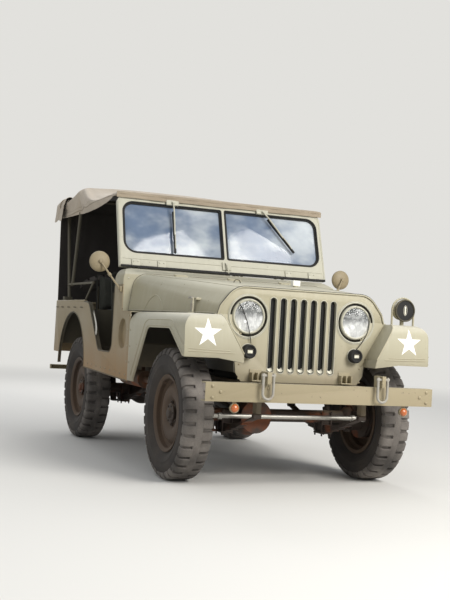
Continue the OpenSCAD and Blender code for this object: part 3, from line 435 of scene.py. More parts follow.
def paint(name, base=(157, 150, 125), pale=(182, 178, 160), dirt=(122, 101, 76), mud=0.55, roughness=0.5,
          stars=False, wells=False):
    finish = Finish(name)
    cloudy = finish.noise(2.1, 5).between(0.35, 0.7)
    streaks = finish.noise(9, 3, (4, 4, 0.25)).between(0.45, 0.75)
    fine = finish.noise(120, 3)
    # painted top light: faces that look up turn paler, partly from dust and partly as a painted highlight of
    # the light on them
    up = finish.facing("Z").between(0.2, 0.95)
    dust_and_top_light = (up * 0.75 + cloudy * 0.25 + streaks * 0.14)
    colour = finish.mix(dust_and_top_light, srgb(*base), srgb(*pale))
    low_down = finish.part("Z").between(0.92, 0.48) * mud * (0.55 + streaks * 0.3 + cloudy * 0.35)
    colour = finish.mix(low_down, colour, srgb(*dirt))
    chips = (finish.noise(46, 6).between(0.7, 0.735)) * (0.35 + cloudy * 0.4)
    colour = finish.mix(chips, colour, srgb(88, 74, 58))
    shine = roughness + cloudy * 0.1 + up * 0.08 + low_down * 0.2
    if stars:
        front = finish.facing("Y") < -0.55
        star = star_mask(finish, STAR_AT, STAR_R) * front
        rubbed = 1 - finish.noise(70, 5).between(0.66, 0.74) * 0.5
        colour = finish.mix(star * rubbed, colour, srgb(246, 246, 243))
    if wells:
        # painted shade, with caked dirt: the well's walls behind the outer skin never see the sun, so they
        # are painted dark
        across = finish.part("X")
        behind = (across * across < WELL_HALF ** 2) * (finish.part("Y") > AXLE_Y + WELL_FRONT)
        behind = behind * (finish.part("Z") < WELL_TOP) * (finish.facing("Z") < 0.5)
        colour = finish.mix(behind * 0.9, colour, srgb(44, 40, 32))
    height = fine * 0.25 - chips * 0.6 + cloudy * 0.3
    return finish.surface(Base_Color=colour, Roughness=shine, Normal=finish.bump(height, 0.25, 0.0012))


OLIVE = paint("olive_drab_paint")
OLIVE_SIDES = paint("shaded_side_paint", base=(136, 122, 94), pale=(152, 141, 116), dirt=(148, 117, 80),
                    mud=0.95)
OLIVE_STARS = paint("olive_drab_with_stars", base=(163, 158, 136), pale=(194, 190, 174), stars=True,
                    wells=True)
OLIVE_COWL = paint("cowl_paint", wells=True)
OLIVE_PALE = paint("bleached_olive_paint", base=(170, 167, 149), pale=(196, 193, 179), mud=0.2)
OLIVE_BUMPER = paint("bumper_paint", base=(146, 136, 108), pale=(172, 164, 138), mud=0.3)
# painted shade: a dark olive for the tub's inside, its door flanges, the bows and the parts underneath, which
# lie in the shade; small dark parts outside wear it too
OLIVE_DARK_AND_SHADED = paint("inner_olive_painted_shade", base=(78, 73, 58), pale=(98, 92, 76), mud=0.4, roughness=0.6)
WHEEL_PAINT = paint("wheel_paint", base=(46, 38, 33), pale=(72, 60, 50), dirt=(98, 76, 54), mud=0.5,
                    roughness=0.62)


# %% [markdown]
# ## Iron, rubber, glass and cloth
# Cast and forged parts underneath carry old dark paint with rust breaking through in patches. Rubber is near
# black, but road dust greys it, most on the tread. Lenses are clear shells over a bright bowl. Canvas and
# webbing show their weave, which comes from two crossed bands in the cloth's own UV map, so that it follows
# every fold.


# %% Metal and rubber
def rusty(name, base=(58, 48, 41), rust=(122, 66, 34), share=0.5, roughness=0.7):
    finish = Finish(name)
    patches = finish.noise(7, 6).between(0.62 - share * 0.2, 0.78 - share * 0.2)
    grain = finish.noise(90, 5)
    # painted top light: upward faces turn paler, partly from dust and partly as painted light from above
    dust_and_top_light = finish.facing("Z").between(0.3, 1.0)
    colour = finish.mix(patches * (0.4 + grain * 0.6), srgb(*base), srgb(*rust))
    colour = finish.mix(dust_and_top_light * 0.45, colour, srgb(128, 112, 90))
    return finish.surface(Base_Color=colour, Roughness=roughness + patches * 0.15,
                          Normal=finish.bump(grain + patches * 0.5, 0.45, 0.002))


def rubber(name, base=(46, 42, 39), dusty=(112, 104, 95), amount=0.55):
    finish = Finish(name)
    film = finish.noise(5, 6).between(0.3, 0.75)
    grain = finish.noise(160, 3)
    colour = finish.mix(film * amount * (0.55 + grain * 0.6), srgb(*base), srgb(*dusty))
    return finish.surface(Base_Color=colour, Roughness=0.82, Normal=finish.bump(grain, 0.35, 0.001))


def plain(name, colour, metallic=0.0, roughness=0.4, grain=0.25, scale=60, **more):
    """Steel, plastic and lenses: one colour with a slight cloud in tone and shine."""
    finish = Finish(name)
    cloud = finish.noise(scale, 4)
    dark = [c * 0.78 for c in srgb(*colour)[:3]] + [1.0]
    shade = finish.mix(cloud.between(0.35, 0.65) * grain * 2, srgb(*colour), dark)
    return finish.surface(Base_Color=shade, Roughness=roughness + cloud * grain * 0.4, Metallic=metallic,
                          Normal=finish.bump(cloud, grain * 0.4, 0.0006), **more)


AXLE_IRON = rusty("axle_iron")
DARK_IRON = rusty("engine_iron", base=(50, 49, 45), rust=(92, 62, 40), share=0.15)
EXHAUST_RUST = rusty("exhaust_rust", base=(84, 62, 46), rust=(136, 76, 40), share=0.9)
STEEL = plain("bare_steel", (176, 173, 165), metallic=0.75, roughness=0.42)
WORN_STEEL = rusty("worn_steel", base=(150, 146, 136), rust=(120, 84, 54), share=0.2, roughness=0.5)
TREAD = rubber("tread_rubber", base=(58, 54, 51), dusty=(134, 127, 120), amount=0.9)
SIDEWALL = rubber("sidewall_rubber", base=(36, 32, 30), dusty=(86, 76, 66), amount=0.38)
SEAL = rubber("seal_rubber", base=(18, 18, 18), dusty=(60, 57, 52), amount=0.3)
BLACK = plain("black_plastic", (24, 24, 25), roughness=0.38)
CHROME = plain("lamp_bowl", (232, 232, 228), metallic=1.0, roughness=0.12, grain=0.08)
DARK_CORE = plain("radiator_core", (22, 22, 21), metallic=0.3, roughness=0.6)
AMBER = plain("amber_lens", (182, 96, 42), roughness=0.15, Coat_Weight=0.6)
RED = plain("red_lens", (150, 20, 14), roughness=0.15, Coat_Weight=0.6)
CREAM_LENS = plain("slit_lens", (222, 218, 200), roughness=0.2, Coat_Weight=0.5)
DIAL = plain("dial_face", (14, 14, 14), roughness=0.3)
WHITE_MARK = plain("white_mark", (236, 234, 226), roughness=0.5)


# %% Glass
def glass(name, tint=(224, 233, 238), haze_and_reflection=None, across=None, roughness=0.03, smears=0.2, ribs=0.0,
          alpha=0.22):
    """Glass for a car's windows: mostly see-through, with a clear gloss and faint dusty smears. Clouds, and
    on a lens a band across it, turn the tint towards a second colour: a painted reflection on the windshield
    and lamp lenses, a hazy look on the plastic sheet.
    """
    finish = Finish(name)
    smear = finish.noise(3.2, 5, (1, 1, 0.5)).between(0.45, 0.8)
    height = finish.noise(1.5, 2)
    if ribs:
        wave = finish.node("ShaderNodeTexWave", {"bands_direction": "X"},
                           {"Vector": finish.place, "Scale": ribs})
        height = wave + height * 0.2
    cloud = finish.noise(2.1, 4, (1, 0.4, 1.6)).between(0.42, 0.66)
    if across:
        cloud = finish.part("Z").between(*across) * 0.8 + finish.noise(38, 3).between(0.45, 0.6) * 0.35
    colour = finish.mix(cloud, srgb(*tint), srgb(*haze_and_reflection)) if haze_and_reflection else srgb(*tint)
    return finish.surface(Base_Color=colour, Roughness=roughness + smear * 0.12, IOR=1.45,
                          Alpha=alpha + smear * smears,
                          Normal=finish.bump(height, 0.5 if ribs else 0.03, 0.002))


# painted reflection: the windshield's blue tint and its pale clouds stand for the sky reflected in it
WINDOW = glass("window_glass", tint=(104, 121, 146), haze_and_reflection=(196, 203, 208), roughness=0.09, alpha=0.66,
               smears=0.22)
CLEAR_SHEET = glass("clear_sheet", tint=(118, 124, 126), haze_and_reflection=(176, 178, 174), roughness=0.12, smears=0.25,
                    alpha=0.6)
# painted reflection: the pale band across the lower part of each headlight lens
LAMP_GLASS = glass("lamp_glass", tint=(112, 115, 116), haze_and_reflection=(242, 243, 242), across=(0.99, 0.925),
                   smears=0.12, ribs=22.0, alpha=0.5)
MIRROR_GLASS = plain("mirror_glass", (186, 194, 200), metallic=0.55, roughness=0.08, grain=0.04)


# %% Cloth
def woven(name, colour, shade, threads=900.0, roughness=0.88, stains=0.4):
    """Two crossed sets of threads in the sheet's own UV map, in metres, with bleached and stained folds."""
    finish = Finish(name)
    uv = finish.node("ShaderNodeUVMap", {"uv_map": "UVMap"})
    sheet_u = finish.node("ShaderNodeSeparateXYZ", inputs={0: uv}, out="X")
    sheet_v = finish.node("ShaderNodeSeparateXYZ", inputs={0: uv}, out="Y")
    warp = finish.node("ShaderNodeMath", {"operation": "SINE"}, {0: sheet_u * threads})
    weft = finish.node("ShaderNodeMath", {"operation": "SINE"}, {0: sheet_v * threads})
    weave = warp * 0.5 + weft * 0.5
    blotch = finish.noise(3.5, 6).between(0.35, 0.75)
    slub = finish.noise(260, 3)
    mixed = finish.mix(blotch * stains + slub * 0.25 - weave * 0.06, srgb(*colour), srgb(*shade))
    return finish.surface(Base_Color=mixed, Roughness=roughness, Sheen_Weight=0.15,
                          Normal=finish.bump(weave * 0.6 + slub * 0.7, 0.5, 0.0011))


CANVAS = woven("canvas", (188, 175, 157), (150, 136, 116))
CANVAS_EDGE = woven("canvas_binding", (158, 145, 126), (128, 114, 96))
# painted shade: the inner faces of the top and curtains are near black because they lie in the dark
CANVAS_INSIDE_SHADE = woven("canvas_inside_painted_shade", (47, 42, 38), (33, 29, 27))
SEAT_CANVAS = woven("seat_canvas", (70, 71, 62), (48, 48, 43), stains=0.5)
# painted highlight: a near-white for the tongues at the foot of the grille's slots
SLOT_TONGUE_HIGHLIGHT = plain("worn_bright_edge", (222, 218, 202), roughness=0.5)
DARK_RECESS = plain("shaded_recess", (44, 41, 33), roughness=0.7)
SEAT_PIPING = plain("seat_piping", (52, 52, 46), roughness=0.75)
WEBBING = woven("strap_webbing", (226, 222, 210), (188, 180, 162), threads=1600.0)
print("finishes made:", len(bpy.data.materials))

# %% [markdown]
# ## Camera, floor and light
# The camera stands low in front of the right front corner and holds itself a little crooked, as a hand
# does. Its place and turn follow from the wheelbase and the vanishing of the body's lines. The floor is a
# plain pale disc that fades into an equally pale surround, and three large soft lamps light the car at a
# plain level.

# %% Camera
YAW, PITCH, ROLL = (math.radians(v) for v in (22.21, 1.51, 3.21))
CAMERA_AT = at(-2.644, -5.579, 0.89)
LENS_MM = 61.48
ahead = Vector((math.sin(YAW) * math.cos(PITCH), math.cos(YAW) * math.cos(PITCH), math.sin(PITCH)))
right = Vector((math.cos(YAW), -math.sin(YAW), 0))
above = right.cross(ahead)
camera_x = math.cos(ROLL) * right + math.sin(ROLL) * above
camera_y = -math.sin(ROLL) * right + math.cos(ROLL) * above
let_go()
bpy.ops.object.camera_add(location=CAMERA_AT)
camera = bpy.context.object
axes = Matrix((camera_x, camera_y, -ahead)).transposed().to_4x4()
camera.matrix_world = Matrix.Translation(camera.location) @ axes
camera.data.lens = LENS_MM
camera.data.sensor_width = 36
bpy.context.scene.camera = camera
bpy.context.scene.view_settings.view_transform = "Standard"


# %% Floor and lamps
def pale_floor():
    finish = Finish("pale_floor")
    x, y = finish.part("X"), finish.part("Y")
    away = finish.node("ShaderNodeMath", {"operation": "SQRT"}, {0: x * x + y * y}).between(4.0, 13.0)
    shader = finish.node("ShaderNodeBsdfPrincipled",
                         inputs={"Base Color": srgb(216, 214, 209), "Roughness": 0.9})
    glow = finish.node("ShaderNodeEmission", inputs={"Color": srgb(226, 225, 221), "Strength": 1.0})
    seen = (finish.node("ShaderNodeLightPath", out="Is Camera Ray")
            + finish.node("ShaderNodeLightPath", out="Is Glossy Ray"))
    both = finish.node("ShaderNodeMixShader", inputs={0: away * seen, 1: shader, 2: glow})
    end = finish.tree.nodes.new("ShaderNodeOutputMaterial")
    finish.tree.links.new(both.socket, end.inputs["Surface"])
    return finish.material


let_go()
bpy.ops.mesh.primitive_circle_add(vertices=96, radius=60, fill_type="NGON")
floor = bpy.context.object
floor.name = "floor"
floor.data.materials.append(pale_floor())


def surround():
    """Pale to the camera, in gloss and through glass; a soft even light for everything else."""
    world = bpy.data.worlds.new("pale_surround")
    bpy.context.scene.world = world
    world.use_nodes = True
    tree = world.node_tree
    tree.nodes.clear()
    seen, lit = tree.nodes.new("ShaderNodeBackground"), tree.nodes.new("ShaderNodeBackground")
    seen.inputs["Color"].default_value = srgb(226, 225, 221)
    lit.inputs["Color"].default_value = srgb(236, 240, 246)
    lit.inputs["Strength"].default_value = 0.56
    path, either = tree.nodes.new("ShaderNodeLightPath"), tree.nodes.new("ShaderNodeMath")
    either.operation = "ADD"
    either.use_clamp = True
    more = tree.nodes.new("ShaderNodeMath")
    more.operation = "ADD"
    tree.links.new(path.outputs["Is Camera Ray"], more.inputs[0])
    tree.links.new(path.outputs["Is Transmission Ray"], more.inputs[1])
    tree.links.new(more.outputs[0], either.inputs[0])
    tree.links.new(path.outputs["Is Glossy Ray"], either.inputs[1])
    mix, end = tree.nodes.new("ShaderNodeMixShader"), tree.nodes.new("ShaderNodeOutputWorld")
    tree.links.new(either.outputs[0], mix.inputs[0])
    tree.links.new(lit.outputs[0], mix.inputs[1])
    tree.links.new(seen.outputs[0], mix.inputs[2])
    tree.links.new(mix.outputs[0], end.inputs["Surface"])


surround()


def soft_lamp(place, power, size, colour=(1, 1, 1)):
    let_go()
    bpy.ops.object.light_add(type="AREA", location=place)
    lamp = bpy.context.object
    lamp.data.energy = power
    lamp.data.size = size
    lamp.data.color = colour
    lamp.rotation_euler = (Vector((0, 0, 0.8)) - Vector(place)).to_track_quat("-Z", "Y").to_euler()


soft_lamp((2.2, -6.4, 4.3), 540, 3.2, (1.0, 0.98, 0.94))
soft_lamp((-6.4, -2.2, 4.4), 70, 4.2, (0.95, 0.98, 1.0))
soft_lamp((0.5, 6.5, 5.5), 260, 4.0)
print("camera at", [round(v, 3) for v in camera.location])

# %% [markdown]
# ## Panels and rails from the frame
# Many CAD parts already have their final shape, but their edges are knife-sharp and their mesh is loose
# triangles. Each gets a copy that is merged and shaded smooth; the sheet parts are also cleaned of the cuts
# across their flat faces and given small rounded edges, so that light runs along every fold of the sheet
# metal. The copy stands for the node it came from.


# %% Rounded copies of the CAD parts
def refined(node, finish, slot, width=0.002, body="chassis", bevel=True, name=None):
    twin = bpy.data.objects.new(node, nodes[node].data.copy())
    bpy.context.scene.collection.objects.link(twin)
    edit(twin)
    bpy.ops.mesh.remove_doubles(threshold=1e-5)
    if bevel:
        bpy.ops.mesh.dissolve_limited(angle_limit=math.radians(1.0))
    bpy.ops.object.mode_set(mode="OBJECT")
    for attribute in [a.name for a in twin.data.attributes if a.name.startswith("custom_normal")]:
        twin.data.attributes.remove(twin.data.attributes[attribute])
    if bevel:
        soften(twin, width, 2, 40)
    else:
        smooth(twin, 40)
    return dress(twin, name or node + "_finished", finish, slot, body, replaces=(node,))


SHEET_PARTS = (
    ("frame", OLIVE_DARK_AND_SHADED, 0.003), ("front_bumper", OLIVE_BUMPER, 0.0025),
    ("rear_bumperettes", OLIVE_BUMPER, 0.002), ("floor_pan", OLIVE_DARK_AND_SHADED, 0.002),
    ("side_left", OLIVE_SIDES, 0.002), ("side_right", OLIVE_SIDES, 0.002), ("rear_panel", OLIVE_SIDES, 0.002),
    ("cowl", OLIVE_COWL, 0.003), ("fender_left", OLIVE_STARS, 0.002), ("fender_right", OLIVE_STARS, 0.002),
    ("grille", OLIVE, 0.0015), ("hood_latches", OLIVE, 0.0015), ("top_bows", OLIVE_DARK_AND_SHADED, 0.001),
    ("fuel_tank", OLIVE_DARK_AND_SHADED, 0.004))
ROUND_PARTS = (
    ("suspension", AXLE_IRON, "axle_paint", "chassis"), ("front_axle", AXLE_IRON, "axle_paint", "chassis"),
    ("rear_axle", AXLE_IRON, "axle_paint", "chassis"), ("exhaust", EXHAUST_RUST, "axle_paint", "chassis"),
    ("tow_pintle", AXLE_IRON, "axle_paint", "chassis"),
    ("lift_shackles", WORN_STEEL, "olive_paint", "chassis"),
    ("drive_train", DARK_IRON, "engine_paint", "chassis"), ("engine", DARK_IRON, "engine_paint", "chassis"),
    ("radiator", DARK_CORE, "engine_paint", "chassis"),
    ("seat_frames", OLIVE_DARK_AND_SHADED, "olive_paint", "chassis"),
    ("driver_controls", BLACK, "engine_paint", "chassis"),
    ("steering_wheel", BLACK, "black_plastic", "steering"),
    ("knuckle_left", AXLE_IRON, "axle_paint", "knuckle_l"),
    ("knuckle_right", AXLE_IRON, "axle_paint", "knuckle_r"), ("tie_rod", STEEL, "bright_steel", "tie_bar"))
for node, finish, width in SHEET_PARTS:
    refined(node, finish, "olive_paint", width)
for node, finish, slot, body in ROUND_PARTS:
    refined(node, finish, slot, body=body, bevel=False)

# %% [markdown]
# ## Tyres
# A military tyre of this kind has a smooth band round its middle and bar-shaped lugs on both sides, with
# narrow slots between them that are half a step apart left and right. A displaced surface would blur those
# slots, so the casing is turned from a profile and one lug is drawn, bevelled and copied round it. The
# outer faces of the lugs run down over the shoulder, as they do on the real tyre.

# %% One tyre
LUGS = 34
LUG_HALF = 0.0245
casing_side = [(0.2035, 0.06), (0.212, 0.0625), (0.222, 0.0605), (0.232, 0.066), (0.25, 0.079),
               (0.272, 0.088), (0.279, 0.09), (0.283, 0.0885), (0.298, 0.0905), (0.315, 0.09),
               (0.34, 0.085), (0.356, 0.077), (0.3605, 0.064), (0.362, 0.025)]
crown = [(0.3745, 0.0225), (0.3765, 0.019)]


def tyre_casing():
    half = casing_side + crown
    other = [(r, -x) for r, x in reversed(half)]
    return turned(half + other + [half[0]], "X", 96, 30)


def tyre_lug():
    """A bar from the middle band out over the shoulder, at the top of the wheel."""
    side = [(0.018, 0.36), (0.018, TYRE_R - 0.001), (0.056, TYRE_R - 0.0014), (0.072, TYRE_R - 0.0045),
            (0.083, 0.364), (0.0905, 0.342), (0.088, 0.334), (0.08, 0.343), (0.07, 0.358)]
    lug = slab([(x, -LUG_HALF, z) for x, z in side], (0, 2 * LUG_HALF, 0))
    return soften(lug, 0.0028, 1, 40)


def tyre():
    lug = tyre_lug()
    pieces = [tyre_casing()]
    for side in SIDE_SIGNS:
        for k in range(LUGS):
            step = 360 * (k + (0.5 if side > 0 else 0)) / LUGS
            pieces.append(copy_of(lug, turn(step, "X") @ (MIRROR if side < 0 else Matrix())))
    bpy.data.objects.remove(lug)
    return joined(pieces)


pattern_tyre = tyre()
print("tyre faces:", len(pattern_tyre.data.polygons))

# %% [markdown]
# ## Wheels
# Each wheel is a rolled rim with curled edges, a pressed disc that bulges out and falls back to the hub,
# five nuts on their studs, and a hub with its cap. The drum shows behind the rim. All of it is turned from
# profiles; the nuts start as six-sided cylinders.


# %% Rim, disc, drum, hub and nuts
def rim():
    return turned([
        (0.202, -0.0695), (0.2205, -0.071), (0.2235, -0.068), (0.2215, -0.064), (0.2075, -0.06),
        (0.2028, -0.056), (0.2022, -0.035), (0.186, -0.022), (0.185, 0.015), (0.2022, 0.033),
        (0.2028, 0.056), (0.2075, 0.06), (0.2215, 0.064), (0.2235, 0.068), (0.2205, 0.071),
        (0.215, 0.07), (0.206, 0.065), (0.1985, 0.059), (0.1972, 0.035), (0.181, 0.018),
        (0.1812, -0.024), (0.1972, -0.037), (0.1985, -0.056), (0.202, -0.0695)], "X", 72, 25)


def disc():
    return turned([
        (0.04, 0.017), (0.062, 0.017), (0.076, 0.0215), (0.095, 0.037), (0.108, 0.043), (0.144, 0.043),
        (0.155, 0.0395), (0.17, 0.026), (0.18, 0.02), (0.183, 0.015), (0.183, 0.01), (0.177, 0.015),
        (0.166, 0.022), (0.152, 0.035), (0.143, 0.0385), (0.109, 0.0385), (0.098, 0.033), (0.078, 0.017),
        (0.064, 0.0125), (0.04, 0.0125), (0.04, 0.017)], "X", 60, 25)


def drum():
    return soften(spun([(0.03, -0.039), (0.124, -0.039), (0.128, -0.035), (0.128, -0.008), (0.123, -0.006),
                        (0.123, 0.008), (0.118, 0.0118), (0.03, 0.0118), (0.03, -0.039)], "X", steps=48),
                  0.001)


def nut(radius, height, x, y, z):
    """A six-sided nut with its stud, on a face across the wheel."""
    let_go()
    bpy.ops.mesh.primitive_cylinder_add(vertices=6, radius=radius, depth=height,
            location=(x + height / 2, y, z), rotation=(0, math.pi / 2, 0))
    head = settle(bpy.context.object)
    bpy.ops.mesh.primitive_cylinder_add(vertices=10, radius=radius * 0.5, depth=height * 1.6,
                                        location=(x + height * 0.8, y, z), rotation=(0, math.pi / 2, 0))
    stud = settle(bpy.context.object)
    return soften(joined([head, stud]), radius * 0.12, 1)


def hub():
    """Hub barrel, driving flange and cap, with the flange's six bolts."""
    barrel = soften(spun([(0.0, 0.01), (0.046, 0.01), (0.046, 0.034), (0.056, 0.035), (0.057, 0.044),
                          (0.03, 0.045), (0.0285, 0.052), (0.024, 0.059), (0.0, 0.061), (0.0, 0.01)],
                         "X", steps=40), 0.0012)
    bolts = [nut(0.0062, 0.005, 0.044, y, z) for _, y, z in ring(0.046, 6, 15)]
    return joined([barrel] + bolts)


wheel_pattern = joined([rim(), disc()])
hub_pattern = joined([drum(), hub()] + [nut(0.0115, 0.012, 0.0165, y, z) for _, y, z in ring(0.0699, 5, 18)])
valve = pipe([(0.046, 0, 0.176), (0.06, 0, 0.181), (0.074, 0, 0.19)], 0.0035)
wheel_pattern = joined([wheel_pattern, valve])


# %% Five wheels on their bodies
SIDEWALL_R = 0.338


def fit_wheel(corner, matrix, body):
    tread = dress(copy_of(pattern_tyre, matrix), "tyre_with_tread_" + corner, TREAD, "tyre_rubber", body,
                  replaces=(("tyre_" + corner) if corner != "spare" else "spare_tyre",))
    # the sidewalls are darker rubber than the dusty tread
    tread.data.materials.append(SIDEWALL)
    back = matrix.inverted()
    for face in tread.data.polygons:
        middle = back @ face.center
        if math.hypot(middle.y, middle.z) < SIDEWALL_R:
            face.material_index = 1
    node = "wheel_" + corner if corner != "spare" else "spare_wheel"
    pressed = dress(copy_of(wheel_pattern, matrix), "disc_wheel_" + corner, WHEEL_PAINT, "wheel_paint", body,
                    replaces=(node,))
    dress(copy_of(hub_pattern, matrix), "hub_and_nuts_" + corner, AXLE_IRON, "wheel_paint", body)
    return pressed


for fore, y in (("front", 0.0), ("rear", WHEELBASE)):
    for sign, mark in SIDES:
        corner = fore + "_" + mark
        place = spot(sign * WHEEL_X, y, TYRE_R) @ (MIRROR if sign < 0
                else Matrix()) @ turn(23 * (sign + 2 * y), "X")
        fit_wheel(corner, place, "road_wheel_" + corner)

low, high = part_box("spare_tyre")
spare_middle = (low + high) / 2
fit_wheel("spare", Matrix.Translation(spare_middle) @ turn(90, "Z"), "chassis")
for pattern in (pattern_tyre, wheel_pattern, hub_pattern):
    bpy.data.objects.remove(pattern)

# carrier between the tub's rear panel and the spare: a dish on a rear plate
rear_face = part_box("rear_panel")[1].y
reach = spare_middle.y - rear_face
carrier = soften(spun([(0.0, 0.0), (0.115, 0.0), (0.115, 0.005), (0.072, 0.012), (0.06, reach - 0.03),
                       (0.066, reach - 0.012), (0.0, reach - 0.012)], "Y", steps=36), 0.001)
moved(carrier, Matrix.Translation((spare_middle.x, rear_face, spare_middle.z)))
dress(carrier, "spare_wheel_carrier", OLIVE_DARK_AND_SHADED, "olive_paint")

# %% [markdown]
# ## Fender noses
# Seen from the front a fender's face is not a rectangle: its inner edge runs from the hood's corner down
# and inwards to the foot. The carried-over panel is square there, so a wedge is cut from it with a Boolean,
# the cut is closed with a slanting plate, and the grille's sheet is carried on behind it.

# %% Cut the corner and close it
NOSE_TOP_X, NOSE_LOW_X = 0.541, 0.4185
NOSE_TOP_Z, NOSE_LOW_Z = 0.9585, 0.75


def nose_x(z):
    return NOSE_LOW_X + (NOSE_TOP_X - NOSE_LOW_X) * (z - NOSE_LOW_Z) / (NOSE_TOP_Z - NOSE_LOW_Z)


for side, mark in SIDES:
    panel = bpy.data.objects["fender_" + mark + "_finished"]
    wedge = [at(side * x, -0.5, z) for x, z in ((0.3, NOSE_LOW_Z), (nose_x(NOSE_LOW_Z), NOSE_LOW_Z),
            (nose_x(1.0), 1.0), (0.3, 1.0))]
    cut_away(panel, slab(wedge, (0, 0.1955, 0)))
    # the foot rises towards the wheel opening instead of ending in a step
    foot = [at(side * x, -0.5, z) for x, z in ((0.3, 0.6), (0.3, 0.688), (0.394, 0.697), (0.56, 0.7205),
            (0.575, 0.7205), (0.575, 0.6))]
    cut_away(panel, slab(foot, (0, 0.2, 0)))
    smooth(panel, 40)
    face = [(-0.3045, 0.958), (-0.372, 0.958), (-0.398, 0.952), (-0.42, 0.934), (-0.431, 0.908),
            (-0.4455, 0.748), (-0.3045, 0.748)]
    plate = slab([at(side * (nose_x(z) - 0.002), y, z) for y, z in face], (side * 0.004, 0, 0))
    filler = slab([at(side * x, -0.306, z) for x, z in ((0.38, 0.7), (0.398, 0.7), (0.548, 0.962),
                (0.4, 0.962))], (0, 0.006, 0))
    rim = pipe([at(side * nose_x(z), y - 0.001, z) for y, z in face[1:6]], 0.004)
    dress(joined([soften(plate, 0.001), soften(filler, 0.001), smooth(rim, 60)]), "fender_nose_" + mark,
          OLIVE, "olive_paint")
    print(panel.name, len(panel.data.vertices), "points")

# %% [markdown]
# ## Grille
# The grille is one pressing whose seven slots have their edges folded inwards, which is what makes them look
# deep: the folded foot of each slot catches the light. Each fold is drawn once as the slot's outline, pulled
# back by two centimetres and given the sheet's thickness, and a rolled bead runs round its front edge.

# %% Wider lamp openings
OPENING_R = 0.1165
grille = bpy.data.objects["grille_finished"]
for side in SIDE_SIGNS:
    plug = spun([(0, -0.03), (OPENING_R, -0.03), (OPENING_R, 0.045), (0, 0.045)], "Y", 72)
    cut_away(grille, moved(plug, spot(side * LAMP_X, GRILLE_Y, LAMP_Z)))
smooth(grille, 40)
print("grille:", len(grille.data.vertices), "points")

# %% Slot folds
SLOT_HALF, SLOT_LOW, SLOT_TOP, SLOT_PITCH = 0.022, 0.642, 1.075, 0.064
SLOTS = range(-3, 4)


def slot_outline(half, y):
    corners = [(-half, SLOT_LOW - half + SLOT_HALF, half), (half, SLOT_LOW - half + SLOT_HALF, half),
               (half, SLOT_TOP + half - SLOT_HALF, half), (-half, SLOT_TOP + half - SLOT_HALF, half)]
    return [(p.x, y, p.y) for p in rounded([(a, b, r * 0.999) for a, b, r in corners], 7)]


def slot_fold():
    fold = chain(slot_outline(SLOT_HALF - 0.0012, 0), closed=True)
    edit(fold)
    bpy.ops.mesh.extrude_region_move(TRANSFORM_OT_translate={"value": (0, 0.024, 0)})
    outwards(fold)
    modify(fold, "SOLIDIFY", thickness=0.0022, offset=0)
    bead = pipe(slot_outline(SLOT_HALF - 0.0004, -0.001), 0.0026, closed=True)
    return smooth(joined([fold, bead]), 40)


fold = slot_fold()
folds = [copy_of(fold, spot(SLOT_PITCH * k, GRILLE_Y, 0)) for k in SLOTS]
bpy.data.objects.remove(fold)
dress(joined(folds), "grille_slot_folds", OLIVE_PALE, "olive_paint")

# a bright tongue at the foot of each slot, where the sheet was lanced and turned in; its pale colour is a
# painted highlight of the light it catches
tongues = []
for k in SLOTS:
    tongue = grid_of(8, 5, lambda u, v, k=k: at(SLOT_PITCH * k + 0.0165 * (2 * u - 1),
            GRILLE_Y + 0.001 + 0.02 * v, 0.664 - 0.012 * math.cos(1.5 * (2 * u - 1)) + 0.016 * v * v))
    tongues.append(modify(tongue, "SOLIDIFY", thickness=0.0016, offset=0))
dress(smooth(joined(tongues), 50), "slot_tongues", SLOT_TONGUE_HIGHLIGHT, "olive_paint")

# core of the radiator behind the slots: thin upright tubes on a dark block
low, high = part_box("radiator")
fins = []
for k in range(24):
    x = low.x + 0.02 + k * (high.x - low.x - 0.04) / 23
    fins.append(brick((x - 0.0016, low.y - 0.004, low.z + 0.04), (x + 0.0016, low.y + 0.002, 1.035)))
dress(joined(fins), "radiator_tubes", DARK_CORE, "engine_paint")
print("grille folds and radiator tubes made")

# %% [markdown]
# ## Headlights
# A headlight is a glass dome clamped by a painted ring, with a bright bowl behind it, and here it sits back
# in a round opening so that a dark gap shows above it; the pan in that gap is painted with shade. Every part
# is turned round the lamp's own axis: bowl, bulb hood, lens and ring. Three screws hold the ring, and a wire
# leaves its outer edge for the small lamp below.


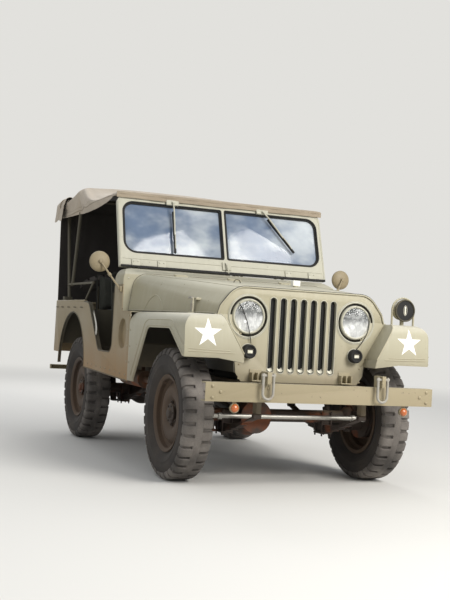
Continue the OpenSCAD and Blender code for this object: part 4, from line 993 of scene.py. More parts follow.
# %% Headlight parts
def headlight(side, mark):
    place = spot(side * LAMP_X, GRILLE_Y, LAMP_Z)
    bowl = [(0.0865 * math.sqrt(k / 9), 0.052 - 0.052 * k / 9) for k in range(10)]
    dish = turned(bowl + [(0.09, -0.001), (0.09, 0.004), (0.05, 0.058), (0.0, 0.06)], "Y", degrees=60)
    dress(moved(dish, place), "headlight_bowl_" + mark, CHROME, "lamp_glass",
          replaces=("headlights",) if side > 0 else ())
    hood = turned([(0.0, 0.006), (0.01, 0.007), (0.015, 0.013), (0.016, 0.02), (0.009, 0.022),
                        (0.007, 0.05), (0.0, 0.051)], "Y", 24, 50)
    dress(moved(hood, place), "headlight_bulb_" + mark, STEEL, "lamp_glass")
    dome = [(0.0885 * k / 8, -0.0165 + 0.0145 * (k / 8) ** 2.2) for k in range(9)]
    lens = turned(dome + [(0.0885, 0.0), (0.0, -0.0125)], "Y", degrees=60)
    dress(moved(lens, place), "headlight_lens_" + mark, LAMP_GLASS, "lamp_glass")
    clamp = turned([(0.0865, -0.0045), (0.089, -0.0085), (0.0935, -0.0095), (0.0985, -0.006), (0.1005, 0.001),
                         (0.1, 0.009), (0.09, 0.009), (0.088, 0.0), (0.0865, -0.0045)], "Y", 72)
    screws = []
    for _, x, z in ring(0.0945, 3, 90):
        screws.append(moved(spun([(0, -0.0125), (0.003, -0.012), (0.0042, -0.0085), (0.0, -0.008)], "Y", 12),
                            Matrix.Translation((x, 0, z))))
    dress(moved(joined([clamp] + screws), place), "headlight_ring_" + mark, OLIVE_PALE, "olive_paint")
    # painted shade: the pan round the lens is near black
    pan = turned([(0.096, 0.012), (0.104, 0.015), (0.112, 0.008), (OPENING_R, -0.002), (0.119, -0.001),
                       (0.115, 0.012), (0.106, 0.022), (0.096, 0.02), (0.096, 0.012)], "Y", 64, 30)
    dress(moved(pan, place), "headlight_pan_" + mark, DARK_RECESS, "olive_paint")


for side, mark in SIDES:
    headlight(side, mark)


# the rolled edge of the grille's opening round each headlight, with its second crease
creases = []
for side in SIDE_SIGNS:
    for radius, bulk in ((0.1185, 0.0046), (0.1255, 0.002)):
        round_line = [(radius * cosine(a), 0, radius * sine(a)) for a in range(0, 360, 8)]
        creases.append(moved(pipe(round_line, bulk, closed=True),
                             spot(side * LAMP_X, GRILLE_Y - 0.001, LAMP_Z)))
dress(smooth(joined(creases), 60), "lamp_opening_beads", OLIVE_PALE, "olive_paint")


# %% Wires to the small lamps
def lamp_wire(side, start, middle, end):
    route = [at(side * x, y, z) for x, y, z in (start, middle, end)]
    steps = [route[0].lerp(route[1], t).lerp(route[1].lerp(route[2], t), t)
             for t in (k / 10 for k in range(11))]
    return pipe(steps, 0.0022)


wires = joined([
    lamp_wire(-1, (0.408, -0.318, 1.03), (0.352, -0.334, 0.94), (0.322, -0.313, 0.806)),
    lamp_wire(1, (0.424, -0.314, 1.012), (0.452, -0.318, 0.905), (0.352, -0.313, 0.8))])
dress(smooth(wires, 60), "lamp_wires", SEAL, "black_rubber")
print("headlights and wires made")

# %% [markdown]
# ## Small lamps
# The blackout marker lamps are dark round bodies with one small hooded window; the turn lamps under the
# bumper are amber domes in a metal rim. Both are turned, and the marker's window is a block with its edges
# beveled.


# %% Marker and turn lamps
def marker_lamp(side, mark):
    place = spot(side * MARKER_X, GRILLE_Y, MARKER_Z)
    body = turned([(0.0, -0.04), (0.026, -0.0405), (0.0285, -0.0455), (0.0325, -0.0475), (0.037, -0.046),
                        (0.0398, -0.04), (0.0398, -0.006), (0.036, 0.0), (0.0, 0.0)], "Y", degrees=30)
    dress(moved(body, place), "marker_body_" + mark, SEAL, "olive_paint",
          replaces=("marker_lamps",) if side > 0 else ())
    window = soften(brick((-0.0155, -0.044, -0.0105), (0.0155, -0.0395, 0.0075)), 0.003, 2)
    hood = soften(brick((-0.019, -0.048, 0.008), (0.019, -0.0395, 0.012)), 0.0015, 2)
    dress(moved(window, place), "marker_window_" + mark, CREAM_LENS, "lamp_glass")
    dress(moved(hood, place), "marker_hood_" + mark, OLIVE_DARK_AND_SHADED, "olive_paint")
    rimmed = pipe([(0.0412 * cosine(a), -0.004, 0.0412 * sine(a))
                   for a in range(0, 360, 10)], 0.0028, closed=True)
    dress(smooth(moved(rimmed, place), 60), "marker_gasket_" + mark, OLIVE_PALE, "olive_paint")


def turn_lamp(side, mark):
    place = spot(side * 0.519, -0.607, 0.465)
    dome = [(0.0225 * sine(a), 0.016 - 0.019 * cosine(a)) for a in range(0, 91, 10)]
    lens = turned(dome + [(0.0225, 0.02), (0.0, 0.02)], "Y", 36, 50)
    dress(moved(lens, place), "turn_lens_" + mark, AMBER, "amber_lens")
    back = turned([(0.0215, 0.013), (0.024, 0.0115), (0.0262, 0.014), (0.0262, 0.022), (0.0235, 0.034),
                   (0.016, 0.046), (0.0, 0.047), (0.0, 0.02), (0.0215, 0.02), (0.0215, 0.013)], "Y", 36)
    dress(moved(back, place), "turn_housing_" + mark, OLIVE_BUMPER, "olive_paint")


for side, mark in SIDES:
    marker_lamp(side, mark)
    turn_lamp(side, mark)


# %% Brackets on the grille's foot and bolts on the bumper
def bolt_head(radius, height, place, direction="Y"):
    """A domed bolt head that faces -Y, or +Z or +X or -X."""
    head = spun([(0, -height), (radius * 0.62, -height * 0.85), (radius, -height * 0.25), (radius, 0.001),
                 (0, 0.001)], "Y", 14)
    lean = {"Y": Matrix(), "Z": turn(-90, "X"), "X": turn(90, "Z"), "-X": turn(-90, "Z"),
            "back": turn(180, "Z")}[direction]
    return moved(head, Matrix.Translation(place) @ lean)


fasteners = []
for side in SIDE_SIGNS:
    for x, z in ((0.655, 0.52), (0.655, 0.58), (0.61, 0.55), (0.335, 0.575), (0.365, 0.525)):
        fasteners.append(bolt_head(0.0095, 0.007, at(side * x, -0.607, z)))
    for z in (0.62, 0.7, 0.87):
        fasteners.append(bolt_head(0.006, 0.004, at(side * 0.385, -0.305, z - 0.012)))
dress(smooth(joined(fasteners), 50), "nose_bolts", OLIVE_BUMPER, "olive_paint")

angles = []
for side in SIDE_SIGNS:
    x0, x1 = sorted((side * 0.245, side * 0.32))
    plate = brick(at(x0, -0.311, 0.603), at(x1, -0.3055, 0.662))
    foot = brick(at(x0, -0.35, 0.597), at(x1, -0.3055, 0.603))
    ribs = [brick(at(side * x - 0.003, -0.345, 0.603), at(side * x + 0.003, -0.311, 0.645))
            for x in (0.25, 0.282, 0.315)]
    angles += [plate, foot] + ribs
dress(soften(joined(angles), 0.0012, 2), "grille_foot_brackets", OLIVE_BUMPER, "olive_paint")
print("small lamps, bolts and brackets made")

# %% [markdown]
# ## Beads and folds in the sheet metal
# Presses leave beads in a panel: a double ridge round the wheel opening, creases low on the fender's nose
# and an arch on the hood's side. Modelled into the panel they would need a very fine mesh, so each is a
# line laid on the panel with Shrinkwrap and given a thin round body that sinks half into it.


# %% A bead laid on a panel
def laid_line(points, panel, radius):
    line = modify(chain(points), "SHRINKWRAP", target=panel, wrap_method="NEAREST_SURFACEPOINT",
                  wrap_mode="ON_SURFACE", offset=0.0)
    return thickened(line, radius, 2)


def fine(points, step=0.02):
    """The same route with a point every two centimetres, so that a laid line follows a curved panel."""
    route = []
    for a, b in zip(points, points[1:]):
        a, b = Vector(a), Vector(b)
        count = max(1, round((b - a).length / step))
        route += [a.lerp(b, k / count) for k in range(count)]
    return route + [Vector(points[-1])]


def open_outline(corners, steps=7):
    return [(p.x, p.y) for p in rounded(corners, steps)]


# %% Fender beads
ARCH_INNER = [(0.452, 0.545, 0), (0.216, 0.877, 0.075), (-0.187, 0.879, 0.075), (-0.317, 0.797, 0.06),
              (-0.412, 0.7385, 0.016), (-0.442, 0.734, 0)]
ARCH_OUTER = [(0.499, 0.56, 0), (0.242, 0.918, 0.1), (-0.205, 0.921, 0.11), (-0.345, 0.833, 0.08),
              (-0.425, 0.784, 0.02), (-0.444, 0.779, 0)]
for side, mark in SIDES:
    panel = bpy.data.objects["fender_" + mark + "_finished"]
    beads = []
    for corners, bulk in ((ARCH_INNER, 0.0042), (ARCH_OUTER, 0.0036)):
        route = fine([at(side * (BODY_HALF + 0.004), y, z) for y, z in open_outline(corners)])
        beads.append(laid_line(route, panel, bulk))
    for z0, x0, x1 in ((0.766, 0.5, 0.742), (0.752, 0.47, 0.744)):
        route = fine([at(side * x, -0.452, z0 + 0.004 * math.sin(9 * x)) for x in (x0, (x0 + x1) / 2, x1)])
        beads.append(laid_line(route, panel, 0.0026))
    dress(smooth(joined(beads), 60), "fender_beads_" + mark, OLIVE, "olive_paint")
print("fender beads laid")

# %% [markdown]
# ## Hood
# The hood is the CAD shell with its edges rounded. What makes it read as a hood is small: a rolled lip
# along its front edge over a gap painted dark with shade, a wide low crown line to each side, the two spring
# latches with their handles, the white block that the folded windshield rests on, and the hinge line with its
# leaves.

# %% Hood and what it carries
hood = refined("hood", OLIVE, "olive_paint", 0.003, "hood_lid")
HOOD_NOSE = [(-0.531, 0.96, 0), (-0.516, 1.01, 0.06), (-0.428, 1.122, 0.13), (0.428, 1.122, 0.13),
             (0.516, 1.01, 0.06), (0.531, 0.96, 0)]
HOOD_HEEL = [(-0.722, 0.961, 0), (-0.688, 1.203, 0.095), (0.688, 1.203, 0.095), (0.722, 0.961, 0)]
lip = pipe([at(x, -0.3085, z - 0.0015) for x, z in open_outline(HOOD_NOSE)], 0.0045)
tail = pipe([at(x, 0.7565, z - 0.001) for x, z in open_outline(HOOD_HEEL)], 0.0035)
ridges = []
for side in SIDE_SIGNS:
    # the arch pressed into the hood's side, and the crown line along its shoulder
    arch = [(0.42 + 0.09 * cosine(a) * (1.35 - 0.35 * sine(a)),
             0.974 + 0.098 * sine(a)) for a in range(0, 181, 12)]
    ridges.append(laid_line(fine([at(side * 0.72, y, z) for y, z in arch]), hood, 0.0032))
    crown = [at(side * (0.405 + 0.22 * t), -0.3 + 1.04 * t, 1.16 + 0.08 * t) for t in (0, 0.25, 0.5, 0.75, 1)]
    ridges.append(laid_line(fine(crown, 0.04), hood, 0.0028))
    hem = [at(side * (0.531 + 0.191 * t), -0.3 + 1.05 * t, 0.9665) for t in (0, 0.5, 1)]
    ridges.append(laid_line(fine(hem, 0.05), hood, 0.0036))
dress(smooth(joined([lip, tail] + ridges), 60), "hood_lip_and_ridges", OLIVE, "olive_paint", "hood_lid")
# painted shade: dark strips in the black rubber finish lie in the gaps round the hood, stand for the gaps'
# shadow and outline it
gaps = [pipe([at(x * 1.004, -0.3062, z + 0.0035) for x, z in open_outline(HOOD_NOSE)], 0.0026),
        pipe([at(x, 0.7612, z + 0.0015) for x, z in open_outline(HOOD_HEEL)], 0.0034)]
for side in SIDE_SIGNS:
    gaps.append(pipe([at(side * (0.5335 + 0.191 * t), -0.305 + 1.062 * t, 0.959) for t in (0, 0.5, 1)],
                     0.003))
dress(smooth(joined(gaps), 60), "hood_gap_painted_shade", SEAL, "black_rubber")

block_top = at(0.25, 0.33, 1.202)
block = soften(brick(block_top + Vector((-0.026, -0.019, -0.026)),
                     block_top + Vector((0.026, 0.019, 0.01))), 0.004, 3)
dress(block, "windshield_rest_block", WHITE_MARK, "olive_paint", "hood_lid")
cleat = moved(soften(brick((-0.032, -0.014, 0), (0.032, 0.014, 0.006)), 0.002),
              spot(-0.15, 0.36, 1.166))
ring_line = [at(-0.15 + 0.022 * cosine(a), 0.345, 1.172 + 0.02 * sine(a)) for a in range(0, 181, 15)]
dress(smooth(joined([cleat, pipe(ring_line, 0.0032)]), 50), "hood_tie_ring", OLIVE_DARK_AND_SHADED, "olive_paint",
      "hood_lid")


# %% Latches, hinge leaves and the cable across the hood's rear edge
def latch(side):
    x, y = side * 0.594, -0.06
    spring = pipe([at(x, y, 0.968), at(x + side * 0.004, y, 1.000), at(x - side * 0.002, y, 1.035)], 0.0058)
    handle = pipe([at(x + side * 0.01, y - 0.028, 1.047), at(x + side * 0.012, y, 1.05),
                   at(x + side * 0.01, y + 0.028, 1.047)], 0.0055)
    coil = joined([moved(turned([(0.0085, -0.002), (0.0105, 0), (0.0085, 0.002), (0.0065, 0),
                                 (0.0085, -0.002)], "Z", 16, 60),
                         spot(x, y, 0.985 + 0.006 * k)) for k in range(6)])
    return [spring, handle, coil]


dress(smooth(joined(latch(1) + latch(-1)), 50), "hood_latch_springs", WORN_STEEL, "bright_steel")
catches = []
for side in SIDE_SIGNS:
    catches.append(soften(brick(at(side * 0.56 - 0.02, -0.084, 1.036),
                                at(side * 0.56 + 0.02, -0.036, 1.05)), 0.003))
    catches.append(bolt_head(0.007, 0.005, at(side * 0.56, -0.06, 1.0495), "Z"))
dress(joined(catches), "hood_catches", OLIVE, "olive_paint", "hood_lid")

leaves = []
for x in (-0.38, 0.0, 0.38):
    leaves.append(soften(brick(at(x - 0.045, 0.726, 1.1955), at(x + 0.045, 0.757, 1.2075)), 0.002))
    for dx in (-0.028, 0.028):
        leaves.append(bolt_head(0.0065, 0.004, at(x + dx, 0.74, 1.207), "Z"))
dress(joined(leaves), "hood_hinge_leaves", OLIVE, "olive_paint", "hood_lid")

# a slack wiring loom runs over the cowl behind the hinge
loom = [at(-0.66 + 0.047 * k, 0.776 + 0.004 * math.sin(2.2 * k), 1.244 + 0.003 * abs(math.sin(1.1 * k)))
        for k in range(29)]
dress(smooth(pipe(loom, 0.005), 60), "cowl_wiring_loom", SEAL, "black_rubber")
print("hood pieces made")

# %% [markdown]
# ## Tub
# The tub's edges are never a raw sheet. Round the door cut-out and the wheel arch the metal is folded
# inwards into a flange with a rolled edge; the fold hides the sheet's thickness and stiffens it. Each is a
# route along the edge, extruded inwards and thickened, plus a round bead. Loops along the rail hold the
# cloth top's straps.


# %% Folded edges
def folded_edge(points, inward, bulk):
    """A route along a panel's edge: a flange pulled inwards and a bead on its outer edge."""
    flange = chain(points)
    edit(flange)
    bpy.ops.mesh.extrude_region_move(TRANSFORM_OT_translate={"value": inward})
    outwards(flange)
    modify(flange, "SOLIDIFY", thickness=0.0025, offset=0)
    return joined([flange, pipe(points, bulk)])


DOOR_EDGE = [(0.955, 1.118, 0), (0.955, 0.683, 0.07), (1.285, 0.683, 0.08), (1.599, 1.014, 0.14),
             (1.73, 1.019, 0)]
for side, mark in SIDES:
    x = side * (BODY_HALF - 0.002)
    door = folded_edge([at(x, y, z) for y, z in open_outline(DOOR_EDGE)], (-side * 0.026, 0, 0), 0.005)
    arch = [(2.057 + 0.401 * cosine(a), 0.54 + 0.401 * sine(a)) for a in range(0, 181, 6)]
    wheel_arch = folded_edge([at(x, y, z) for y, z in arch], (-side * 0.02, 0, 0), 0.0055)
    sill = pipe([at(x, 0.58, 0.521), at(x, 1.65, 0.548)], 0.005)
    dress(smooth(joined([door, wheel_arch, sill]), 40), "body_edge_folds_" + mark, OLIVE_DARK_AND_SHADED,
          "olive_paint")

# %% Loops, bolts and seams on the tub
STRAP_XS = (-0.6, -0.36, -0.12, 0.12, 0.36, 0.6)
loops, heads = [], []
for side in SIDE_SIGNS:
    outer = side * (BODY_HALF + 0.001)
    for y in (1.79, 1.99, 2.19, 2.39, 2.56):
        loops.append(pipe([at(outer - side * 0.003, y - 0.02, 0.976),
                           at(outer + side * 0.01, y - 0.018, 0.977), at(outer + side * 0.012, y, 0.978),
                           at(outer + side * 0.01, y + 0.018, 0.977),
                           at(outer - side * 0.003, y + 0.02, 0.976)], 0.003))
    for k in range(9):
        heads.append(bolt_head(0.0058, 0.0035, at(outer, 0.62 + 0.115 * k, 0.556 + 0.003 * k),
                               "X" if side > 0 else "-X"))
    for z in (0.64, 0.74, 0.84, 0.93):
        heads.append(bolt_head(0.0058, 0.0035, at(outer, 0.6, z), "X" if side > 0 else "-X"))
        heads.append(bolt_head(0.0058, 0.0035, at(outer, 0.546, z), "X" if side > 0 else "-X"))
for x in STRAP_XS:
    loops.append(pipe([at(x - 0.02, 2.6245, 0.952), at(x - 0.018, 2.636, 0.953), at(x + 0.018, 2.636, 0.953),
                       at(x + 0.02, 2.6245, 0.952)], 0.003))
dress(smooth(joined(loops), 60), "strap_loops", OLIVE_DARK_AND_SHADED, "bright_steel")
dress(smooth(joined(heads), 50), "body_bolts", OLIVE, "olive_paint")
print("tub edges, loops and bolts made")

# %% [markdown]
# ## Windshield
# The folding windshield is a flat frame with two panes set in black rubber. The rubber is what draws its
# outline, so it is modelled: a round bead along the edge of each pane, front and back. The frame is filled
# round its two openings and pulled out. All its pieces are drawn upright and then leaned back together.

# %% Seals, panes, catch and hinges
RAKE = 18.5
SHIELD_T = 0.034
SHIELD_HALF, SHIELD_H = 0.76, 0.503
FRONT_FACE = -SHIELD_T / 2
lean_back = spot(0, 0.905, 1.25) @ turn(-RAKE, "X")


def pane_outline(side, grow, y):
    """A pane is round at its outer corners and nearly square at the centre post."""
    x0, x1, z0, z1 = 0.0125 - grow, 0.724 + grow, 0.1 - grow, 0.467 + grow
    corners = [(side * x0, z0, 0.012), (side * x1, z0, 0.085 + grow), (side * x1, z1, 0.075 + grow),
               (side * x0, z1, 0.012)]
    return [(p.x, y, p.y) for p in rounded(corners, 8)]


def open_panel(outline, openings, pull):
    """A plate with holes: all its outlines are filled as one face and pulled out."""
    plate = joined([chain(line, closed=True) for line in [outline] + openings])
    edit(plate)
    bpy.ops.mesh.fill(use_beauty=True)
    bpy.ops.mesh.extrude_region_move(TRANSFORM_OT_translate={"value": Vector(pull)})
    return outwards(plate)


outer = [(p.x, FRONT_FACE, p.y)
         for p in rounded([(-SHIELD_HALF, 0.0, 0), (SHIELD_HALF, 0.0, 0), (SHIELD_HALF, SHIELD_H, 0.042),
                           (-SHIELD_HALF, SHIELD_H, 0.042)], 8)]
shield = open_panel(outer, [pane_outline(side, 0.0, FRONT_FACE) for side in SIDE_SIGNS], (0, SHIELD_T, 0))
dress(moved(soften(shield, 0.004, 3, 40), lean_back), "windshield_frame_finished", OLIVE_PALE,
      "olive_paint", replaces=("windshield_frame",))
panes = []
for side in SIDE_SIGNS:
    panes.append(soften(slab(pane_outline(side, 0.002, -0.0025), (0, 0.005, 0)), 0.001))
dress(moved(joined(panes), lean_back), "windshield_panes", WINDOW, "window_glass", replaces=("window_panes",))


seals = []
for side in SIDE_SIGNS:
    for y in (FRONT_FACE, -FRONT_FACE):
        seals.append(pipe(pane_outline(side, -0.001, y), 0.005, closed=True))
        seals.append(pipe(pane_outline(side, -0.009, y * 0.4), 0.0058, closed=True))
foot = pipe([(x, y, 0.0) for x, y in ((-0.752, -0.02), (0.752, -0.02))], 0.0085)
seals.append(foot)
# painted shade: a thin dark line along the frame's top stands for the shadow under the top's front hem
seals.append(pipe([(-0.756, -0.02, 0.5045), (0.756, -0.02, 0.5045)], 0.004))
dress(smooth(moved(joined(seals), lean_back), 60), "windshield_seals_and_shade_line", SEAL, "black_rubber")

trim = []
# channel that holds the top's front hem, and the raised rib along the foot of the frame
trim.append(pipe([(-0.735, -0.0165, 0.4965), (0.735, -0.0165, 0.4965)], 0.0055))
trim.append(pipe([(-0.735, -0.0165, 0.056), (0.735, -0.0165, 0.056)], 0.0035))
for side in SIDE_SIGNS:
    trim.append(pipe([(side * 0.75, -0.015, 0.01), (side * 0.751, -0.015, 0.44),
                      (side * 0.743, -0.015, 0.475)], 0.005))
    # hinge brackets at the frame's foot
    for x in (0.47, 0.65):
        trim.append(soften(brick((side * x - 0.028, -0.026, -0.004), (side * x + 0.028, -0.0165, 0.05)),
                           0.002))
        for dx in (-0.015, 0.015):
            trim.append(bolt_head(0.0055, 0.004, (side * x + dx, -0.0262, 0.034)))
# catch in the middle of the frame's foot
trim.append(soften(brick((-0.032, -0.027, 0.02), (0.032, -0.0165, 0.078)), 0.003))
trim.append(pipe([(-0.01, -0.03, 0.07), (-0.006, -0.042, 0.05), (0.0, -0.044, 0.012),
                  (0.004, -0.038, -0.012)], 0.0055))
dress(smooth(moved(joined(trim), lean_back), 50), "windshield_trim", OLIVE_PALE, "olive_paint")

# %% [markdown]
# ## Wipers
# Each wiper hangs from a small motor on the frame's top rail: a housing, a bent arm and a blade whose
# rubber lies on the glass. The viewer sees the arm as a pale rod beside a black line, so both are made.


# %% Wipers
def wiper(x, swing):
    place = lean_back @ Matrix.Translation((x, FRONT_FACE, 0.475)) @ turn(swing, "Y")
    arm = [pipe([(0, -0.029, 0.004), (0.002, -0.031, -0.06), (0.002, -0.026, -0.15), (0, -0.022, -0.232)],
                0.0052), turned([(0, -0.036), (0.006, -0.0355), (0.0085, -0.031), (0.0085, -0.024),
                                 (0.0, -0.024)], "Y", 16, 50)]
    bridge = pipe([(0.002, -0.02, -0.105), (0.002, -0.025, -0.15), (0.002, -0.025, -0.29),
                   (0.002, -0.02, -0.33)], 0.0036)
    rods = joined(arm + [bridge])
    blade = soften(brick((-0.0065, -0.0185, -0.362), (0.0065, -0.004, -0.06)), 0.0015)
    return moved(rods, place), moved(blade, place)


rods, blades = [], []
for x, swing in ((-0.372, 0), (0.3, -38)):
    rod, blade = wiper(x, swing)
    rods.append(rod)
    blades.append(blade)
    motor = soften(brick((x - 0.046, -0.036, 0.462), (x + 0.046, -0.0165, 0.5)), 0.006, 3)
    knob = spun([(0, -0.014), (0.012, -0.012), (0.014, 0.0), (0.014, 0.016), (0, 0.016)], "Y", 20)
    rods.append(moved(smooth(joined([motor, moved(knob, Matrix.Translation((x, -0.03, 0.479)))]), 40),
                      lean_back))
dress(smooth(joined(rods), 50), "wiper_arms", OLIVE_PALE, "bright_steel", replaces=("wipers",))
dress(joined(blades), "wiper_blades", SEAL, "black_rubber")
hose = [lean_back @ Vector((x, 0.024, z)) for x, z in ((-0.372, 0.47), (-0.375, 0.3), (-0.41, 0.215),
        (-0.455, 0.205), (-0.49, 0.25))]
dress(smooth(modify(pipe(fine(hose, 0.03), 0.0035), "SMOOTH", iterations=4), 60), "wiper_hose", SEAL,
      "black_rubber")
print("windshield and wipers made")

# %% [markdown]
# ## Mirrors
# The mirrors are shallow domes on thin rods. The rod ends in a ball clamp at the dome's middle and in a
# bracket on the cowl's corner, where the small T-handle that clamps the folding windshield also sits.


# %% Mirrors
def mirror(side, mark):
    middle, elbow = at(side * 0.89, 0.905, 1.272), (side * 0.836, 0.846, 1.188)
    back = spun([(0.0, -0.019), (0.02, -0.0185), (0.04, -0.015), (0.056, -0.008), (0.0655, 0.001),
                 (0.068, 0.006), (0.068, 0.011), (0.064, 0.012), (0.062, 0.008), (0.0, 0.007),
                 (0.0, -0.019)], "Y", 56)
    seat = spun([(0, -0.034), (0.009, -0.033), (0.013, -0.027), (0.012, -0.018), (0, -0.017)], "Y", 20)
    shell = moved(joined([back, seat]), Matrix.Translation(middle))
    rod = pipe([at(side * 0.779, 0.795, 1.1), at(*elbow), at(side * 0.889, 0.882, 1.27)], 0.0062)
    clamp = smooth(moved(spun([(0, -0.012), (0.0105, -0.011), (0.0115, 0.0), (0.0105, 0.011), (0, 0.012)],
                              "Z", 16), spot(*elbow)
                         @ turn(side * 33, "Y") @ turn(-25, "X")), 40)
    x0, x1 = sorted((side * 0.765, side * 0.781))
    base = soften(brick(at(x0, 0.775, 1.08), at(x1, 0.815, 1.116)), 0.003)
    ball = moved(turned([(0.0115 * sine(a), -0.0115 * cosine(a))
                         for a in range(0, 181, 15)], "Z", 20, 60),
                 spot(side * 0.781, 0.795, 1.1))
    dress(smooth(joined([shell, rod, clamp, base, ball]), 40), "mirror_shell_" + mark, OLIVE_SIDES,
          "olive_paint", replaces=("mirrors",) if side > 0 else ())
    glass_disc = spun([(0, 0.007), (0.0618, 0.008), (0.0618, 0.01), (0, 0.0102)], "Y", 48)
    dress(smooth(moved(glass_disc, Matrix.Translation(middle)), 40), "mirror_glass_" + mark, MIRROR_GLASS,
          "window_glass")
    handle = [pipe([at(side * 0.757, 0.79, 1.128), at(side * 0.722, 0.772, 1.176)], 0.0042),
              pipe([at(side * 0.735, 0.76, 1.17), at(side * 0.712, 0.785, 1.186)], 0.0042)]
    dress(smooth(joined(handle), 50), "cowl_clamp_handle_" + mark, OLIVE_PALE, "bright_steel")


for side, mark in SIDES:
    mirror(side, mark)

# %% [markdown]
# ## Driving lamp
# The driver's side fender carries one covered driving lamp with a hoop guard round it. The hoop and its
# legs are the CAD part; a rim and a dark mask are turned and added, with a pale slot lens and a thin ring
# round the slot.

# %% Driving lamp
refined("drive_lamp", OLIVE, "olive_paint", bevel=False)
place = spot(0.66, -0.3, 1.047)
rim_ring = turned([(0.059, -0.031), (0.06, -0.0375), (0.0635, -0.04), (0.0665, -0.037), (0.067, -0.024),
                        (0.056, -0.02), (0.056, -0.029), (0.059, -0.031)], "Y", 64)
dress(moved(rim_ring, place), "drive_lamp_rim", OLIVE_DARK_AND_SHADED, "olive_paint")
mask = turned([(0.0, -0.0325), (0.03, -0.033), (0.06, -0.0318), (0.06, -0.029), (0.0, -0.029)], "Y", 56)
dress(moved(mask, place), "drive_lamp_mask", SEAL, "black_plastic")
slit = soften(brick((-0.005, -0.0365, -0.024), (0.005, -0.0325, 0.024)), 0.002)
visor = pipe([(a * 0.012, -0.035, b * 0.03) for _, a, b in ring(1.0, 24)], 0.0022, closed=True)
dress(moved(slit, place), "drive_lamp_slit", CREAM_LENS, "lamp_glass")
dress(smooth(moved(visor, place), 60), "drive_lamp_slit_ring", WORN_STEEL, "olive_paint")
print("mirrors and driving lamp made")

# %% [markdown]
# ## Canvas top
# The top is one sheet of canvas laid over two bows, laced to the windshield's header and left to hang at
# the sides as a valance. It is drawn as a grid whose rows follow the bows, with a little noise, and then
# Cloth lets it settle: the rows that touch the header and the bows are held, and the canvas between them is
# a fraction too long, so it sags and puckers the way a wet-and-dried top does. Its inner face is in the
# dark, so when Solidify gives the sheet its thickness that face gets a near-black finish of painted shade.

# %% Letting cloth settle
FRAMES = 20


def run_cloth(thing, prepare):
    """Steps a cloth simulation and bakes its last frame into the mesh."""
    take(thing)
    cloth = thing.modifiers.new("settle", "CLOTH")
    cloth.settings.quality = 6
    cloth.collision_settings.use_collision = False
    cloth.collision_settings.use_self_collision = False
    cloth.point_cache.frame_start, cloth.point_cache.frame_end = 1, FRAMES
    prepare(cloth.settings)
    for frame_number in range(1, FRAMES + 1):
        bpy.context.scene.frame_set(frame_number)
    bpy.ops.object.modifier_apply(modifier=cloth.name)
    bpy.context.scene.frame_set(1)
    return thing


def hang(sheet, held, growth, weight=0.4):
    """Lets a sheet hang from the points that held(co) picks. Growth is how much too long it was cut."""
    group = sheet.vertex_groups.new(name="held")
    group.add([v.index for v in sheet.data.vertices if held(v.co)], 1.0, "REPLACE")

    def prepare(settings):
        settings.vertex_group_mass = "held"
        settings.mass = 0.35
        settings.tension_stiffness = settings.compression_stiffness = 25
        settings.bending_stiffness = 0.6
        settings.shrink_min = -growth
        settings.effector_weights.gravity = weight

    run_cloth(sheet, prepare)
    sheet.vertex_groups.clear()
    return sheet


def lay_out(sheet, width, length):
    """The weave's own map, in metres: the grid's map from 0 to 1 is stretched to the cut's size."""
    for loop in sheet.data.uv_layers.active.data:
        loop.uv = (loop.uv.x * width, loop.uv.y * length)
    return sheet


# Solidify gives a sheet its thickness; its inner face gets the near-black painted shade
def give_shaded_inside(sheet, thickness, inner_shade):
    sheet.data.materials.append(inner_shade)
    return modify(sheet, "SOLIDIFY", thickness=thickness, offset=0, material_offset=1, material_offset_rim=0)


def face_backwards(sheet):
    """Turns a sheet's outer face to the rear."""
    if sum((face.normal * face.area for face in sheet.data.polygons), Vector()).y < 0:
        sheet.data.flip_normals()


# %% The roof's shape
ROOF_HALF, CORNER_BEND = 0.768, 0.13
HEADER_Y, REAR_BOW_Y, ROOF_END_Y = 1.037, 2.222, 2.717
ridge = [(p.x, p.y)
         for p in rounded([(1.037, 1.762, 0), (1.602, 1.872, 0.5), (2.222, 1.934, 0.5), (2.717, 1.897, 0)],
                          12)]
edge = [(p.x, p.y)
        for p in rounded([(1.037, 1.726, 0), (1.2146, 1.743, 0.2), (2.122, 1.715, 0.8), (2.717, 1.7, 0)],
                         12)]


def height_on(line, y):
    for (y0, z0), (y1, z1) in zip(line, line[1:]):
        if y <= y1:
            return z0 + (z1 - z0) * max(0.0, y - y0) / (y1 - y0)
    return line[-1][1]


def roof_place(u, v):
    """u goes from one valance's edge over the top to the other's, v from the header to the rear."""
    y = HEADER_Y + (ROOF_END_Y - HEADER_Y) * v
    top, low_edge = height_on(ridge, y), height_on(edge, y)
    fall = 0.018 * min(1.0, 3 * v)
    bend = min(CORNER_BEND, 0.85 * (top - fall - low_edge))
    flat, arc, drop = ROOF_HALF - bend, bend * math.pi / 2, max(0.002, top - fall - bend - low_edge)
    way = abs(2 * u - 1) * (flat + arc + drop)
    side = 1 if u > 0.5 else -1
    if way < flat:
        x, z = way, top - fall * (way / flat) ** 2
    elif way < flat + arc:
        angle = (way - flat) / bend
        x, z = flat + bend * math.sin(angle), top - fall - bend * (1 - math.cos(angle))
    else:
        x, z = ROOF_HALF, top - fall - bend - (way - flat - arc)
    ripple = 0.0035 * noise.noise(Vector((5 * side * x, 6 * y, 4 * z))) * min(1.0, 6 * v)
    hang_out = 0.006 * math.sin(17 * y) * max(0.0, (way - flat - arc) / 0.12) * min(1.0, 2 * v)
    return at(side * (x + ripple + hang_out), y, z + ripple)


roof = grid_of(108, 84, roof_place)
ROOF_CUT = (2.02, 1.72)
lay_out(roof, *ROOF_CUT)


